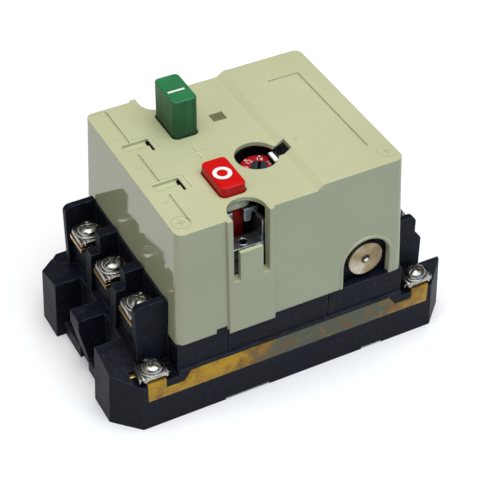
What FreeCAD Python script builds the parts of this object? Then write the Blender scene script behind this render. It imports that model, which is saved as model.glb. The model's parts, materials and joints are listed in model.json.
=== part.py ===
import FreeCAD, Part
import math
import os

from FreeCAD import Vector

# Motor protection circuit breaker. X runs from the line terminals (-X) to the load terminals (+X),
# Y across the poles, Z away from the mounting panel. The origin is the middle of the underside.

# Base moulding
base_length = 120.0
base_width = 70.0
base_corner = 8.0
base_end_draft = 1.0
base_floor = 5.0
base_wall = 2.6
rim_height = 29.5
rim_set_back = 0.6
lug_height = 22.0
lug_fall = 2.4
shelf_height = 17.6
shelf_depth = 7.2
shelf_margin = 1.4
lug_wall = 1.8
channel_width = 12.4
channel_open = 3.2
rib_undercut = 4.6
fixing_hole = 4.4
fixing_margin = 3.2
relief_depth = 0.9
relief_spans = ((-23.6, -7.9), (25.8, 33.5))
seam_positions = (-22.5, 12.7)
seam_width = 0.5

# Terminal towers
pole_pitch = 19.0
tower_width = 55.2
tower_top = 43.5
tower_set_back = 10.0
load_top = 42.4
tower_wall = 2.2
tower_corner = 2.2
load_step_height = 34.2
load_step = 2.0
load_foot = 0.5
partition_thickness = 3.6
partition_crown = 6.3
partition_step_height = 37.0
partition_lean = 1.0
pedestal_length = 8.4
end_wall_drop = 1.5

# Terminals and earth strip
terminal_seat = 33.0
terminal_inset = 5.0
strip_thickness = 1.5
strip_width = 9.0
strip_tail = 4.6
conductor_turn = 5.0
clamp_size = 9.6
clamp_length = 8.6
clamp_height = 2.4
clamp_gauge = 1.2
clamp_lean = 0.6
clamp_lip = 1.44
screw_shank = 4.0
screw_head = 7.0
screw_head_height = 2.8
screw_length = 12.0
screw_slot = 1.0
screw_crown = 0.35
screw_slot_floor = 0.6
earth_inset_x = 13.2
earth_inset_y = 3.6
earth_clamp_length = 10.4
earth_clamp_depth = 6.8
earth_gauge = 1.2
earth_bottom = 11.3
earth_top = 18.6
earth_neck_top = 15.0
earth_tab_width = 6.2
earth_neck_length = 6.0
earth_shoulder = 2.4

# Cover
cover_set_back = 22.0
cover_side_inset = 2.0
cover_draft = 1.5
cover_top = 71.0
cover_wall = 2.2
cover_roof = 1.5
cover_corner = 2.5
least_corner = 0.5
plateau_rise = 1.7
ramp_start = 7.8
ramp_length = 2.4
band_width = 15.6
band_proud = 0.9
band_skirt = 1.0
notch_radius = 6.0
notch_inset = 1.9
notch_depth = 23.0
tongue_width = 7.6
tongue_height = 10.3
tongue_gauge = 1.3
guide_gauge = 1.0
guide_drop = 3.0
arch_radius = 7.75
arch_rise = 0.3
arch_bevel = 1.3
latch_position = -24.5
latch_width = 3.4
latch_height = 1.4
groove_width = 0.6
groove_depth = 0.4
corner_line_x = (20.7, 31.0)
corner_line_y = (-22.0, 21.3)
edge_line_x = -31.6
edge_line_spans = ((14.1, 31.7), (-7.1, 6.8), (-28.0, -14.7))
marker_x = (-34.3, -25.8)
marker_y = (11.6, -10.0)
marker_height = 3.4
marker_depth = 1.0
marker_slot = 4.6
marker_slot_shift = 1.6
marker_slot_width = 0.9
pip_centre = (-1.45, 13.7)
pip_size = (4.5, 4.1)
pip_depth = 0.7

# Buttons and rocker
control_x = -14.5
button_y = 16.0
button_width = 8.2
button_length = 14.6
button_corner = 1.6
button_edge = 0.5
button_gap = 0.35
button_proud = 13.5
off_proud = 3.2
on_travel = 9.0
off_travel = 4.5
contact_travel = 4.0
lip_thickness = 1.3
lip_width = 0.7
lip_length = 8.0
cap_drop = 1.0
stem_width = 5.4
stem_length = 10.6
stem_margin = 1.8
on_stem_cut = 5.0
spring_post = 4.0
spring_wire = 0.6
on_spring_radius = 1.8
on_spring_turns = 6
pivot_height = 53.0
pivot_pin = 4.0
pivot_end = 0.8
rocker_hub = 8.0
rocker_bar = 5.0
rocker_plate = 1.6
rocker_pin = 2.4
pin_play = 0.35
side_play = 0.3

# Mechanism frame
frame_gauge = 1.2
frame_inner = 10.8
frame_waist = 60.0
frame_horn = 64.6
frame_end = 30.4
frame_foot = 23.0
ear_height = 57.0
ear_hole = 2.6
ear_collar = 4.2
ear_collar_height = 2.6
ear_hole_inset = 2.55
ear_start = 25.8
ear_reach = 0.8
face_position = 25.6
tab_inset = 1.9
tab_width = 2.5
tab_bottom = 61.5
tab_top = 66.2
tab_corner = 0.8
arm_rise = 5.0
sight_margin = 1.0
drive_window = 5.0

# Inner mouldings
inner_wall = 1.8
inner_side_play = 0.6
inner_height = 42.0
inner_play = 0.4
middle_gap = 8.0
chamber_drop = 12.0
cheek_top = 47.5
cheek_start = 16.0
trip_floor = 2.0
post_diameter = 4.0
post_inset_y = 4.2
post_merge = 0.6
frame_screw = 2.9
frame_screw_head = 5.2
frame_screw_head_height = 1.8
cover_screw = 3.0
cover_screw_head = 5.6
cover_screw_sink = 0.4
cover_boss = 6.4
boss_web = 2.4
boss_inset = 6.6
cover_screw_bite = 12.0

# Contacts
plinth_height = 14.2
contact_spacing = 12.4
contact_tip = 4.0
contact_tip_height = 1.2
contact_margin = 0.6
plinth_margin = 0.5
contact_rest_gap = 0.3
bridge_length = 16.0
bridge_width = 6.0
bridge_thickness = 1.6
contact_spring_radius = 2.0
contact_spring_turns = 4
leg_width = 10.0
leg_depth = 6.0
leg_bottom_bar = 2.4
crossbar_height = 5.0
crossbar_depth = 10.0
crossbar_end_play = 0.6
arc_end_play = 0.8
arc_gap = 1.0
arc_plates = 5
arc_pitch = 2.7
arc_plate_gauge = 1.0
arc_half_width = 5.6
arc_sheet = 0.8
coil_lead_width = 6.0

# Trip unit
trip_inset = 10.5
trip_drop = 4.7
trip_shaft = 4.0
trip_sleeve = 6.4
finger_gauge = 2.4
finger_bottom = 16.0
finger_width = 11.0
trip_arm_width = 5.0
disc_radius = 6.0
disc_thickness = 1.2
rivet_radius = 1.5
rivet_dome = 0.7
coil_lead_gap = 2.2
plunger_reach = 7.4
coil_flange = 11.0
coil_flange_gauge = 1.2
coil_winding = 9.6
coil_height = 19.0
coil_offset = -2.5
plunger_core = 4.0
plunger_rod = 2.4
plunger_gap = 0.3
bimetal_gauge = 1.0
bimetal_width = 4.2
bimetal_offset = 2.4
bimetal_gap = 4.0
bimetal_tip = 33.0
heater_height = 14.0
heater_bottom = 11.5
heater_gauge = 0.75
heater_turns = 5
heater_play = 0.25
slider_width = 6.0
slider_gauge = 2.0
slider_nose = 3.0
guide_width = 2.0
guide_rise = 1.0

# Setting dial
dial_x = 1.0
dial_y = -9.5
window_radius = 6.8
window_slot = 5.0
window_slot_y = -10.2
window_slot_end = 10.2
dial_radius = 6.0
dial_thickness = 2.0
dial_depth = 4.8
dial_hub = 2.6
dial_hub_height = 0.6
dial_slot = 0.9
dial_slot_turn = 58.0
dial_shaft = 3.2
dial_shaft_length = 12.0
cam_radius = 2.6
cam_throw = 0.8
cam_height = 3.0
cup_wall = 1.0
cup_floor = 1.8
insert_depth = 1.9
insert_ribs = 4
rib_height = 0.5
insert_overlap = 0.5
pointer_start = 4.9
pointer_depth = 2.6
pointer_thickness = 0.8

# Fits
shaft_play = 0.05
seat_play = 0.15
free_play = 0.3
bury = 0.2

# Places worked out from the sizes above
half_length = base_length / 2
half_width = base_width / 2
rim_y = half_width - rim_set_back
cavity_y = rim_y - base_wall
cover_length = base_length - 2 * cover_set_back
cover_width = base_width - 2 * cover_side_inset
tower_reach = half_length - tower_set_back
end_out = cover_length / 2 + cover_draft
end_in = end_out - base_wall
tower_y = tower_width / 2
end_wall_top = tower_top - end_wall_drop
terminal_x = tower_reach - terminal_inset
strip_end = terminal_x + strip_tail
strip_top = terminal_seat + strip_thickness
earth_x = half_length - earth_inset_x
earth_y = -(half_width - earth_inset_y)
poles = (-pole_pitch, 0.0, pole_pitch)
plateau_top = cover_top + plateau_rise
roof_under = cover_top - cover_roof
slope = cover_draft / (cover_top - rim_height)
inner_y = cavity_y - inner_side_play
inner_start = middle_gap / 2
inner_end = end_in - inner_play
pole_room = pole_pitch - inner_wall
chamber_wall_top = inner_height - chamber_drop
conductor_x = end_in - conductor_turn
guide_bottom = roof_under - guide_drop
trip_x = end_in - trip_inset
trip_height = inner_height - trip_drop
arch_centre_height = trip_height + arch_rise
bimetal_x = trip_x - bimetal_gap
coil_start = inner_start + inner_wall + coil_lead_gap
coil_end = trip_x - plunger_reach
pin_reach = button_y * 2 * on_travel / (on_travel + off_travel)
pivot_y = button_y - pin_reach
off_reach = pin_reach * off_travel / on_travel
drive_reach = pin_reach * contact_travel / on_travel
rocker_angle = math.asin(on_travel / 2 / pin_reach)
frame_floor_top = inner_height + frame_gauge
fixed_tip_top = plinth_height + strip_thickness + contact_tip_height
moving_tip_bottom = fixed_tip_top + contact_travel + contact_rest_gap
bridge_bottom = moving_tip_bottom + contact_tip_height
boss_y = half_width - boss_inset
crossbar_bottom = chamber_wall_top + contact_travel + 2 * free_play
dial_face = cover_top - dial_depth
insert_top = cover_top - insert_depth
pointer_seat = cover_top - pointer_depth
block_start = window_radius - insert_overlap


def box(x0, x1, y0, y1, z0, z1):
    return Part.makeBox(x1 - x0, y1 - y0, z1 - z0, Vector(x0, y0, z0))


def rod(radius, start, end):
    axis = Vector(*end) - Vector(*start)
    return Part.makeCylinder(radius, axis.Length, Vector(*start), axis)


def prism(corners, along, low, high):
    """Extrude an outline along one axis; its corners are in the other two axes, in X, Y, Z order."""
    place = {
        "x": lambda a, b: Vector(low, a, b),
        "y": lambda a, b: Vector(a, low, b),
        "z": lambda a, b: Vector(a, b, low),
    }[along]
    step = {"x": Vector(1, 0, 0), "y": Vector(0, 1, 0), "z": Vector(0, 0, 1)}[along]
    points = [place(a, b) for a, b in corners]
    return Part.Face(Part.makePolygon(points + points[:1])).extrude(step * (high - low))


def rounded_outline(length, width, radius, z, x=0.0, y=0.0):
    a, b = length / 2, width / 2
    c = radius * (1 - math.sqrt(0.5))
    edges = []
    for sx, sy in ((1, 1), (-1, 1), (-1, -1), (1, -1)):
        start = Vector(x + sx * a, y + sy * (b - radius), z)
        middle = Vector(x + sx * (a - c), y + sy * (b - c), z)
        end = Vector(x + sx * (a - radius), y + sy * b, z)
        if sx * sy < 0:
            start, end = end, start
        edges.append(Part.Arc(start, middle, end).toShape())
    lines = []
    for first, second in zip(edges, edges[1:] + edges[:1]):
        lines.append(Part.makeLine(first.Vertexes[-1].Point, second.Vertexes[0].Point))
    ordered = [edge for pair in zip(edges, lines) for edge in pair]
    return Part.Wire(ordered)


def rounded_block(length, width, radius, z0, z1, x=0.0, y=0.0):
    outline = Part.Face(rounded_outline(length, width, radius, z0, x, y))
    return outline.extrude(Vector(0, 0, z1 - z0))


def joined(first, *others):
    return first.fuse(list(others)).removeSplitter()


def without(shape, *tools):
    return shape.cut(list(tools))


def mirrored_x(shape):
    return shape.mirror(Vector(0, 0, 0), Vector(1, 0, 0))


def mirrored_y(shape):
    return shape.mirror(Vector(0, 0, 0), Vector(0, 1, 0))


def both_sides(shape):
    return [shape, mirrored_y(shape)]


def all_corners(shape):
    return both_sides(shape) + [mirrored_x(side) for side in both_sides(shape)]


def coil_spring(x, y, bottom, top, radius, wire, turns):
    """Spring of square wire, standing on bottom and ending at top."""
    height = top - bottom - wire
    path = Part.makeHelix(height / turns, height, radius)
    half = wire / 2
    corners = [Vector(radius + a * half, 0, b * half) for a, b in ((1, 1), (-1, 1), (-1, -1), (1, -1))]
    section = Part.makePolygon(corners + corners[:1])
    spring = Part.Wire(path).makePipeShell([section], True, True)
    spring.translate(Vector(x, y, bottom + half))
    return spring


def pan_screw(x, y, seat, head, head_height, shank, length):
    """Slotted pan-head screw pointing down, its head standing on seat."""
    cap = Part.makeCylinder(head / 2, head_height, Vector(x, y, seat))
    crown = [edge for edge in cap.Edges if abs(edge.CenterOfMass.z - seat - head_height) < 0.01]
    cap = cap.makeFillet(head_height * screw_crown, crown)
    slot = box(x - head, x + head, y - screw_slot / 2, y + screw_slot / 2,
               seat + head_height * screw_slot_floor, seat + head_height + 1)
    stem = rod(shank / 2, (x, y, seat - length), (x, y, seat))
    return joined(cap.cut(slot), stem)


def cover_half(z, extra=0.0):
    """Half length and half width of the drafted cover at a height."""
    lean = slope * (cover_top - z)
    return cover_length / 2 + lean + extra, cover_width / 2 + lean + extra


def flange():
    """Lower part of the base: chamfered plan, ends leaning in, sloped lug tops, corner shelves."""
    sections = []
    for z, length in ((0.0, half_length), (lug_height, half_length - base_end_draft)):
        quarter = [(length, half_width - base_corner), (length - base_corner, half_width)]
        plan = quarter + [(-a, b) for a, b in reversed(quarter)]
        plan = plan + [(-a, -b) for a, b in plan]
        points = [Vector(a, b, z) for a, b in plan]
        sections.append(Part.makePolygon(points + points[:1]))
    body = Part.makeLoft(sections, True, True)
    lug_edge = pole_pitch / 2 + channel_width / 2
    wedge = prism([(lug_edge, lug_height), (half_width + 1, lug_height - lug_fall),
                   (half_width + 1, lug_height + 1), (lug_edge, lug_height + 1)],
                  "x", -half_length, half_length)
    rim = lug_edge + lug_wall
    slant = prism([(rim, lug_height), (half_width, shelf_height), (half_width + 1, shelf_height),
                   (half_width + 1, lug_height + 1), (rim, lug_height + 1)], "x", end_out, half_length + 1)
    shelf_end = earth_x + earth_clamp_length / 2 + shelf_margin
    shelf = box(end_out, shelf_end, half_width - shelf_depth, half_width + 1, shelf_height, lug_height + 1)
    return without(body, *both_sides(wedge), *all_corners(slant), *all_corners(shelf))


def end_channels():
    """Open channels at the ends, wider at the load end, the rib's undercut and the fixing holes."""
    low = pole_pitch / 2 - channel_width / 2
    high = pole_pitch / 2 + channel_width / 2
    floor_end = half_length - channel_open
    trough = box(tower_reach, half_length + 1, low, high, base_floor, lug_height + 1)
    mouth = box(floor_end, half_length + 1, low, high, -1, base_floor + 1)
    undercut = prism([(half_length, lug_height), (half_length + 1, lug_height),
                      (half_length + 1, -1), (half_length - rib_undercut, -1)], "y", 0, low)
    hole_x = floor_end - fixing_margin
    hole = rod(fixing_hole / 2, (hole_x, pole_pitch / 2, -1), (hole_x, pole_pitch / 2, base_floor + 1))
    wall_in = half_width - shelf_depth - lug_wall
    load_trough = box(tower_reach + load_foot, half_length + 1, low, wall_in, base_floor, lug_height + 1)
    tools = both_sides(load_trough)
    for tool in (trough, mouth, undercut, hole):
        tools += all_corners(tool)
    return tools


def tower_side(stepped):
    """Outer wall of a terminal tower; the load end's wall has a lower outer step."""
    if not stepped:
        return [rounded_wall(tower_reach, tower_top)]
    crown = rounded_wall(tower_reach - load_step, load_top)
    return [crown, rounded_wall(tower_reach + load_foot, load_step_height)]


def rounded_wall(reach, top):
    """Upright wall along the tower's side, its outer top corner rounded."""
    wall = box(end_in, reach, tower_y - tower_wall, tower_y, base_floor, top)
    corner = [edge for edge in wall.Edges
              if abs(edge.CenterOfMass.x - reach) < 0.01 and abs(edge.CenterOfMass.z - top) < 0.01]
    return wall.makeFillet(tower_corner, corner)


def tower(stepped):
    """One end's walls, partitions and pedestals, on the +X side."""
    pieces = []
    for side in tower_side(stepped):
        pieces += both_sides(side)
    half = partition_thickness / 2
    middle = pole_pitch / 2
    crown = box(end_in, end_out + partition_crown, middle - half, middle + half, base_floor, tower_top)
    outer = prism([(end_in, base_floor), (tower_reach, base_floor), (tower_reach, lug_height),
                   (tower_reach - partition_lean, partition_step_height), (end_in, partition_step_height)],
                  "y", middle - half, middle + half)
    pieces += both_sides(crown) + both_sides(outer)
    pieces.append(box(end_in, end_out + pedestal_length, -tower_y, tower_y, base_floor, terminal_seat))
    pieces.append(box(end_in, end_out, -tower_y, tower_y, base_floor, end_wall_top))
    return joined(pieces[0], *pieces[1:])


def strip_outline(grow):
    """Front outline of the earth strip, widened by grow on every side."""
    tab_out = earth_x + earth_tab_width / 2 + grow
    tab_in = earth_x - earth_tab_width / 2 - grow
    neck_in = earth_x - earth_tab_width / 2 - earth_neck_length + grow
    tab_top = shelf_height + earth_gauge
    right = [(tab_out, earth_bottom - grow), (tab_out, tab_top), (tab_in, tab_top),
             (tab_in, earth_neck_top + grow), (neck_in, earth_neck_top + grow),
             (neck_in - earth_shoulder, earth_top + grow)]
    return right + [(-a, b) for a, b in reversed(right)]


def base_housing():
    low_body = box(-end_out, end_out, -half_width, half_width, base_floor, earth_top)
    body = box(-end_out, end_out, -rim_y, rim_y, base_floor, rim_height)
    latch = box(latch_position - latch_width / 2, latch_position + latch_width / 2,
                cavity_y, rim_y, rim_height - 1, rim_height + latch_height)
    load_end = tower(True)
    line_end = mirrored_x(tower(False))
    shell = joined(flange(), low_body, body, load_end, line_end)
    cavity = box(-end_in, end_in, -cavity_y, cavity_y, base_floor, rim_height + 1)
    inner_clear = box(-end_in, end_in, -tower_y - 1, tower_y + 1, rim_height, tower_top + 1)
    cover_clear = box(-end_out, end_out, -tower_y - 1, tower_y + 1, end_wall_top, tower_top + 1)
    tools = end_channels() + [cavity, inner_clear, cover_clear]
    tools.append(prism(strip_outline(seat_play), "y", -half_width - 1, -half_width + earth_gauge))
    for low, high in relief_spans:
        tools.append(box(low, high, -half_width - 1, half_width + 1, -1, relief_depth))
    for x in seam_positions:
        seam = box(x - seam_width / 2, x + seam_width / 2, rim_y - seam_width, half_width + 1,
                   earth_top + 1, rim_height + 1)
        tools += both_sides(seam)
    for y in poles:
        slot = box(end_in - 1, end_out + 1, y - strip_width / 2 - seat_play, y + strip_width / 2 + seat_play,
                   terminal_seat, strip_top + seat_play)
        hole = rod(screw_shank / 2 + free_play, (terminal_x, y, strip_top - screw_length),
                   (terminal_x, y, strip_top))
        tools += [slot, mirrored_x(slot), hole, mirrored_x(hole)]
    earth_hole = rod(screw_shank / 2 + free_play, (earth_x, earth_y, base_floor),
                     (earth_x, earth_y, lug_height))
    tools += [earth_hole, mirrored_x(earth_hole)]
    shell = without(shell, *tools)
    column = rod(cover_boss / 2, (0, boss_y, base_floor), (0, boss_y, rim_height))
    web = box(-boss_web / 2, boss_web / 2, boss_y, cavity_y + 1, base_floor, rim_height)
    bore = rod(cover_screw / 2 + seat_play, (0, boss_y, -1), (0, boss_y, rim_height + 1))
    sink = rod(cover_screw_head / 2 + free_play, (0, boss_y, -1), (0, boss_y, base_floor / 2))
    shell = joined(shell, *both_sides(column), *both_sides(web), *both_sides(latch))
    return without(shell, *both_sides(bore), *both_sides(sink)).removeSplitter()


def cover_body(extra_y=0.0, inset=0.0, top=plateau_top, bottom=rim_height):
    """Drafted block of the cover's plan between two heights."""
    sections = []
    for z in (bottom, top):
        a, b = cover_half(z)
        radius = max(cover_corner - inset, least_corner)
        sections.append(rounded_outline(2 * (a - inset), 2 * (b - inset + extra_y), radius, z))
    return Part.makeLoft(sections, True, True)


def roof_cut():
    """What lies above the lower roof and the ramp up to the plateau."""
    far = cover_length
    high = plateau_top + 1
    ramp_end = ramp_start + ramp_length
    return prism([(-far, cover_top), (ramp_start, cover_top), (ramp_end, plateau_top),
                  (far, plateau_top), (far, high), (-far, high)], "y", -far, far)


def keyhole(x0, z0, z1, extra=0.0):
    """Dial window: a round opening with a slot running towards +X."""
    disc = rod(window_radius + extra, (x0, dial_y, z0), (x0, dial_y, z1))
    half = window_slot / 2 + extra
    slot = box(x0, x0 + window_slot_end + extra, window_slot_y - half, window_slot_y + half, z0, z1)
    return joined(disc, slot)


def button_hole(y, z0, z1, extra):
    return rounded_block(button_width + 2 * extra, button_length + 2 * extra, button_corner + extra,
                         z0, z1, control_x, y)


def end_notch():
    """Round-ended notch in the roof's edge with its slot and tongue down the wall, on the +Y side."""
    centre_y = cover_width / 2 - notch_inset
    top = plateau_top + 1
    bottom = cover_top - notch_depth
    out = cover_width / 2 + cover_draft + band_proud + 1
    low, high = control_x - notch_radius, control_x + notch_radius
    round_part = rod(notch_radius, (control_x, centre_y, roof_under - 1), (control_x, centre_y, top))
    roof_part = box(low, high, centre_y, out, roof_under - 1, top)
    wall_part = box(low, high, cover_width / 2 - cover_wall, out, bottom, roof_under)
    tongue_back = cover_half(bottom + tongue_height)[1] + band_proud - tongue_gauge
    tongue = box(control_x - tongue_width / 2, control_x + tongue_width / 2, tongue_back, out + 1,
                 bottom - 1, bottom + tongue_height)
    return joined(round_part, roof_part, wall_part.cut(tongue))


def button_guide(y):
    """Collar under the roof round a button's hole."""
    outer = button_hole(y, guide_bottom, roof_under + bury, button_gap + guide_gauge)
    return outer.cut(button_hole(y, guide_bottom - 1, roof_under + 1, button_gap))


def arch_opening():
    """Arched opening at the foot of the -Y wall, with a bevelled rim."""
    outside = -cover_half(rim_height)[1]
    wall_y = -cover_half(arch_centre_height)[1]
    inside = wall_y + cover_wall + 1
    disc = rod(arch_radius, (trip_x, outside - 1, arch_centre_height), (trip_x, inside, arch_centre_height))
    legs = box(trip_x - arch_radius, trip_x + arch_radius, outside - 1, inside,
               rim_height - 1, arch_centre_height)
    reach = wall_y + arch_bevel - (outside - 1)
    rim = Part.makeCone(arch_radius + reach, arch_radius, reach,
                        Vector(trip_x, outside - 1, arch_centre_height), Vector(0, 1, 0))
    flare = prism([(trip_x - arch_radius, wall_y + arch_bevel), (trip_x - arch_radius - reach, outside - 1),
                   (trip_x + arch_radius + reach, outside - 1), (trip_x + arch_radius, wall_y + arch_bevel)],
                  "z", rim_height - 1, arch_centre_height)
    return [disc, legs, rim, flare]


def groove(x0, x1, y0, y1, surface, depth=groove_depth):
    half = groove_width / 2
    return box(x0 - half, x1 + half, y0 - half, y1 + half, surface - depth, surface + 1)


def roof_marks():
    """Engraved lines, the two marker recesses with their slots, and the square pip recess."""
    tools = [groove(corner_line_x[0], corner_line_x[1], corner_line_y[1], corner_line_y[1], plateau_top),
             groove(corner_line_x[1], corner_line_x[1], corner_line_y[0], corner_line_y[1], plateau_top)]
    for low, high in edge_line_spans:
        tools.append(groove(edge_line_x, edge_line_x, low, high, cover_top))
    for y in marker_y:
        tools.append(box(marker_x[0], marker_x[1], y - marker_height / 2, y + marker_height / 2,
                         cover_top - marker_depth, cover_top + 1))
        slot_end = y + marker_height / 2 - marker_slot_shift
        tools.append(box(marker_x[1] - marker_slot_width, marker_x[1], slot_end - marker_slot, slot_end,
                         roof_under - 1, cover_top + 1))
    x, y = pip_centre
    tools.append(box(x - pip_size[0] / 2, x + pip_size[0] / 2, y - pip_size[1] / 2, y + pip_size[1] / 2,
                     cover_top - pip_depth, cover_top + 1))
    return tools


def top_cover():
    shell = cover_body()
    band_slab = box(control_x - band_width / 2, control_x + band_width / 2, -half_width - 2, half_width + 2,
                    rim_height - band_skirt, plateau_top + 1)
    band = cover_body(band_proud, 0.0, plateau_top, rim_height - band_skirt).common(band_slab)
    shell = joined(shell, band).cut(roof_cut())
    hollow = cover_body(0.0, cover_wall, roof_under, rim_height - band_skirt - 1)
    skirt_clear = box(-half_length, half_length, -rim_y - seat_play, rim_y + seat_play, 0, rim_height)
    shell = without(shell, hollow, skirt_clear)
    boss = rod(cover_boss / 2, (0, boss_y, rim_height), (0, boss_y, roof_under + bury))
    web = box(-boss_web / 2, boss_web / 2, boss_y, half_width, rim_height, roof_under)
    web = web.common(cover_body(0.0, cover_wall / 2, roof_under, rim_height))
    guides = [button_guide(y) for y in (button_y, -button_y)]
    shell = joined(shell, *both_sides(boss), *both_sides(web), *guides)
    pilot = rod(cover_screw / 2 + shaft_play, (0, boss_y, rim_height - 1),
                (0, boss_y, rim_height + cover_screw_bite + 1))
    tower_gap = box(end_in - 2 * base_wall, half_length, -tower_y - seat_play, tower_y + seat_play,
                    rim_height - 2, end_wall_top + seat_play)
    latch_half = latch_width / 2 + seat_play
    latch_gap = box(latch_position - latch_half, latch_position + latch_half, cavity_y - 1, half_width + 2,
                    rim_height - 2, rim_height + latch_height + seat_play)
    tools = both_sides(pilot) + [tower_gap, mirrored_x(tower_gap)] + both_sides(latch_gap)
    for y in (button_y, -button_y):
        tools.append(button_hole(y, roof_under - 1, cover_top + 1, button_gap))
    tools.append(keyhole(0.0, roof_under - 1, plateau_top + 1))
    tools += both_sides(end_notch()) + arch_opening() + roof_marks()
    return without(shell, *tools)


def terminal_strip(inner_profile):
    """Bent conductor strip of one pole on the +X side, from its terminal inwards."""
    flat = [(strip_end, terminal_seat), (strip_end, strip_top), (conductor_x, strip_top)]
    outline = flat + inner_profile + [(conductor_x + strip_thickness, terminal_seat)]
    return prism(outline, "y", -strip_width / 2, strip_width / 2)


def strip_hole():
    return rod(screw_shank / 2 + shaft_play, (terminal_x, 0, terminal_seat - 1),
               (terminal_x, 0, strip_top + 1))


def line_strip(y):
    """Line terminal with its fixed contact, built on the +X side and mirrored to -X."""
    tip_x = -control_x + contact_spacing / 2
    foot_end = tip_x - contact_tip / 2 - contact_margin
    foot_top = plinth_height + strip_thickness
    profile = [(conductor_x, foot_top), (foot_end, foot_top), (foot_end, plinth_height),
               (conductor_x + strip_thickness, plinth_height)]
    tip = rod(contact_tip / 2, (tip_x, 0, foot_top - bury), (tip_x, 0, fixed_tip_top))
    strip = joined(terminal_strip(profile), tip).cut(strip_hole())
    strip = mirrored_x(strip)
    strip.translate(Vector(0, y, 0))
    return strip


def load_strip(y):
    """Load terminal, led down to the foot that carries the bimetal."""
    foot_bottom = base_floor + trip_floor
    foot_end = bimetal_x - bimetal_gauge
    profile = [(conductor_x, foot_bottom + strip_thickness), (foot_end, foot_bottom + strip_thickness),
               (foot_end, foot_bottom), (conductor_x + strip_thickness, foot_bottom)]
    strip = terminal_strip(profile).cut(strip_hole())
    strip.translate(Vector(0, y, 0))
    return strip


def clamp(x, y, seat, length, depth):
    """Saddle clamp: a pressed plate with both ends turned down to its seat."""
    half = length / 2
    right = [(half, 0), (half - clamp_lean, clamp_height)]
    under = [(half - clamp_lip - 2 * clamp_lean, clamp_height - clamp_gauge), (half - clamp_lip, 0)]
    outline = [(x + a, seat + b) for a, b in right]
    outline += [(x - a, seat + b) for a, b in reversed(right)]
    outline += [(x - a, seat + b) for a, b in reversed(under)]
    outline += [(x + a, seat + b) for a, b in under]
    plate = prism(outline, "y", y - depth / 2, y + depth / 2)
    return plate.cut(rod(screw_shank / 2 + shaft_play, (x, y, seat - 1), (x, y, seat + clamp_height + 1)))


def terminal_clamps(side):
    x = side * terminal_x
    return Part.Compound([clamp(x, y, strip_top, clamp_length, clamp_size) for y in poles])


def terminal_screws(side):
    seat = strip_top + clamp_height
    screws = []
    for y in poles:
        screws.append(pan_screw(side * terminal_x, y, seat, screw_head, screw_head_height,
                                screw_shank, screw_length))
    return Part.Compound(screws)


def earth_strip():
    face = prism(strip_outline(0.0), "y", -half_width, -half_width + earth_gauge)
    inner = half_width - shelf_depth + seat_play
    tab = box(earth_x - earth_tab_width / 2, earth_x + earth_tab_width / 2, -half_width, -inner,
              shelf_height, shelf_height + earth_gauge)
    hole = rod(screw_shank / 2 + shaft_play, (earth_x, earth_y, 0), (earth_x, earth_y, lug_height))
    return without(joined(face, tab, mirrored_x(tab)), hole, mirrored_x(hole))


def earth_clamps():
    seat = shelf_height + earth_gauge
    places = (-earth_x, earth_x)
    return Part.Compound([clamp(x, earth_y, seat, earth_clamp_length, earth_clamp_depth) for x in places])


def earth_screws():
    seat = shelf_height + earth_gauge + clamp_height
    length = seat - base_floor - 1
    screws = []
    for side in (-1, 1):
        screws.append(pan_screw(side * earth_x, earth_y, seat, screw_head, screw_head_height,
                                screw_shank, length))
    return Part.Compound(screws)


def inner_block(start, end):
    """Inner moulding with three chambers, on the base floor; open at the top."""
    block = box(start, end, -inner_y, inner_y, base_floor, inner_height)
    room = inner_y - inner_wall
    tools = []
    for y in poles:
        low = -room if y < 0 else y - pole_room / 2
        high = room if y > 0 else y + pole_room / 2
        tools.append(box(start + inner_wall, end - inner_wall, low, high, base_floor - 1, inner_height + 1))
    tools.append(box(start + inner_wall, end - inner_wall, -room, room, chamber_wall_top, inner_height + 1))
    return without(block, *tools)


def frame_posts():
    """Posts of the switch housing that take the frame screws, as (x, y) places."""
    near = -inner_start - inner_wall - post_diameter / 2 + post_merge
    far = -inner_end + inner_wall + post_diameter / 2 - post_merge
    post_y = inner_y - post_inset_y
    return [(x, y) for x in (near, far) for y in (post_y, -post_y)]


def switch_housing():
    block = inner_block(-inner_end, -inner_start)
    solids = []
    tools = []
    for y in poles:
        half = strip_width / 2 + plinth_margin
        solids.append(box(-inner_end + inner_wall / 2, -inner_start - inner_wall / 2, y - half, y + half,
                          base_floor, plinth_height))
        half = strip_width / 2 + seat_play
        tools.append(box(-end_in, -inner_end + inner_wall + free_play, y - half, y + half,
                         terminal_seat - seat_play, inner_height + 1))
        half = coil_lead_width / 2 + seat_play
        tools.append(box(-inner_start - inner_wall - free_play, 0, y - half, y + half,
                         plinth_height, plinth_height + strip_thickness + seat_play))
    for x, y in frame_posts():
        solids.append(rod(post_diameter / 2, (x, y, base_floor), (x, y, inner_height)))
        tools.append(rod(frame_screw / 2 + shaft_play, (x, y, chamber_wall_top), (x, y, inner_height + 1)))
    return without(joined(block, *solids), *tools)


def coil_lead(y):
    """Strip from a pole's second fixed contact to its trip coil."""
    half = coil_lead_width / 2
    tip_x = control_x + contact_spacing / 2
    start = tip_x - contact_tip / 2 - contact_margin
    top = plinth_height + strip_thickness
    lead = box(start, coil_start, y - half, y + half, plinth_height, top)
    return joined(lead, rod(contact_tip / 2, (tip_x, y, top - bury), (tip_x, y, fixed_tip_top)))


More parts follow.
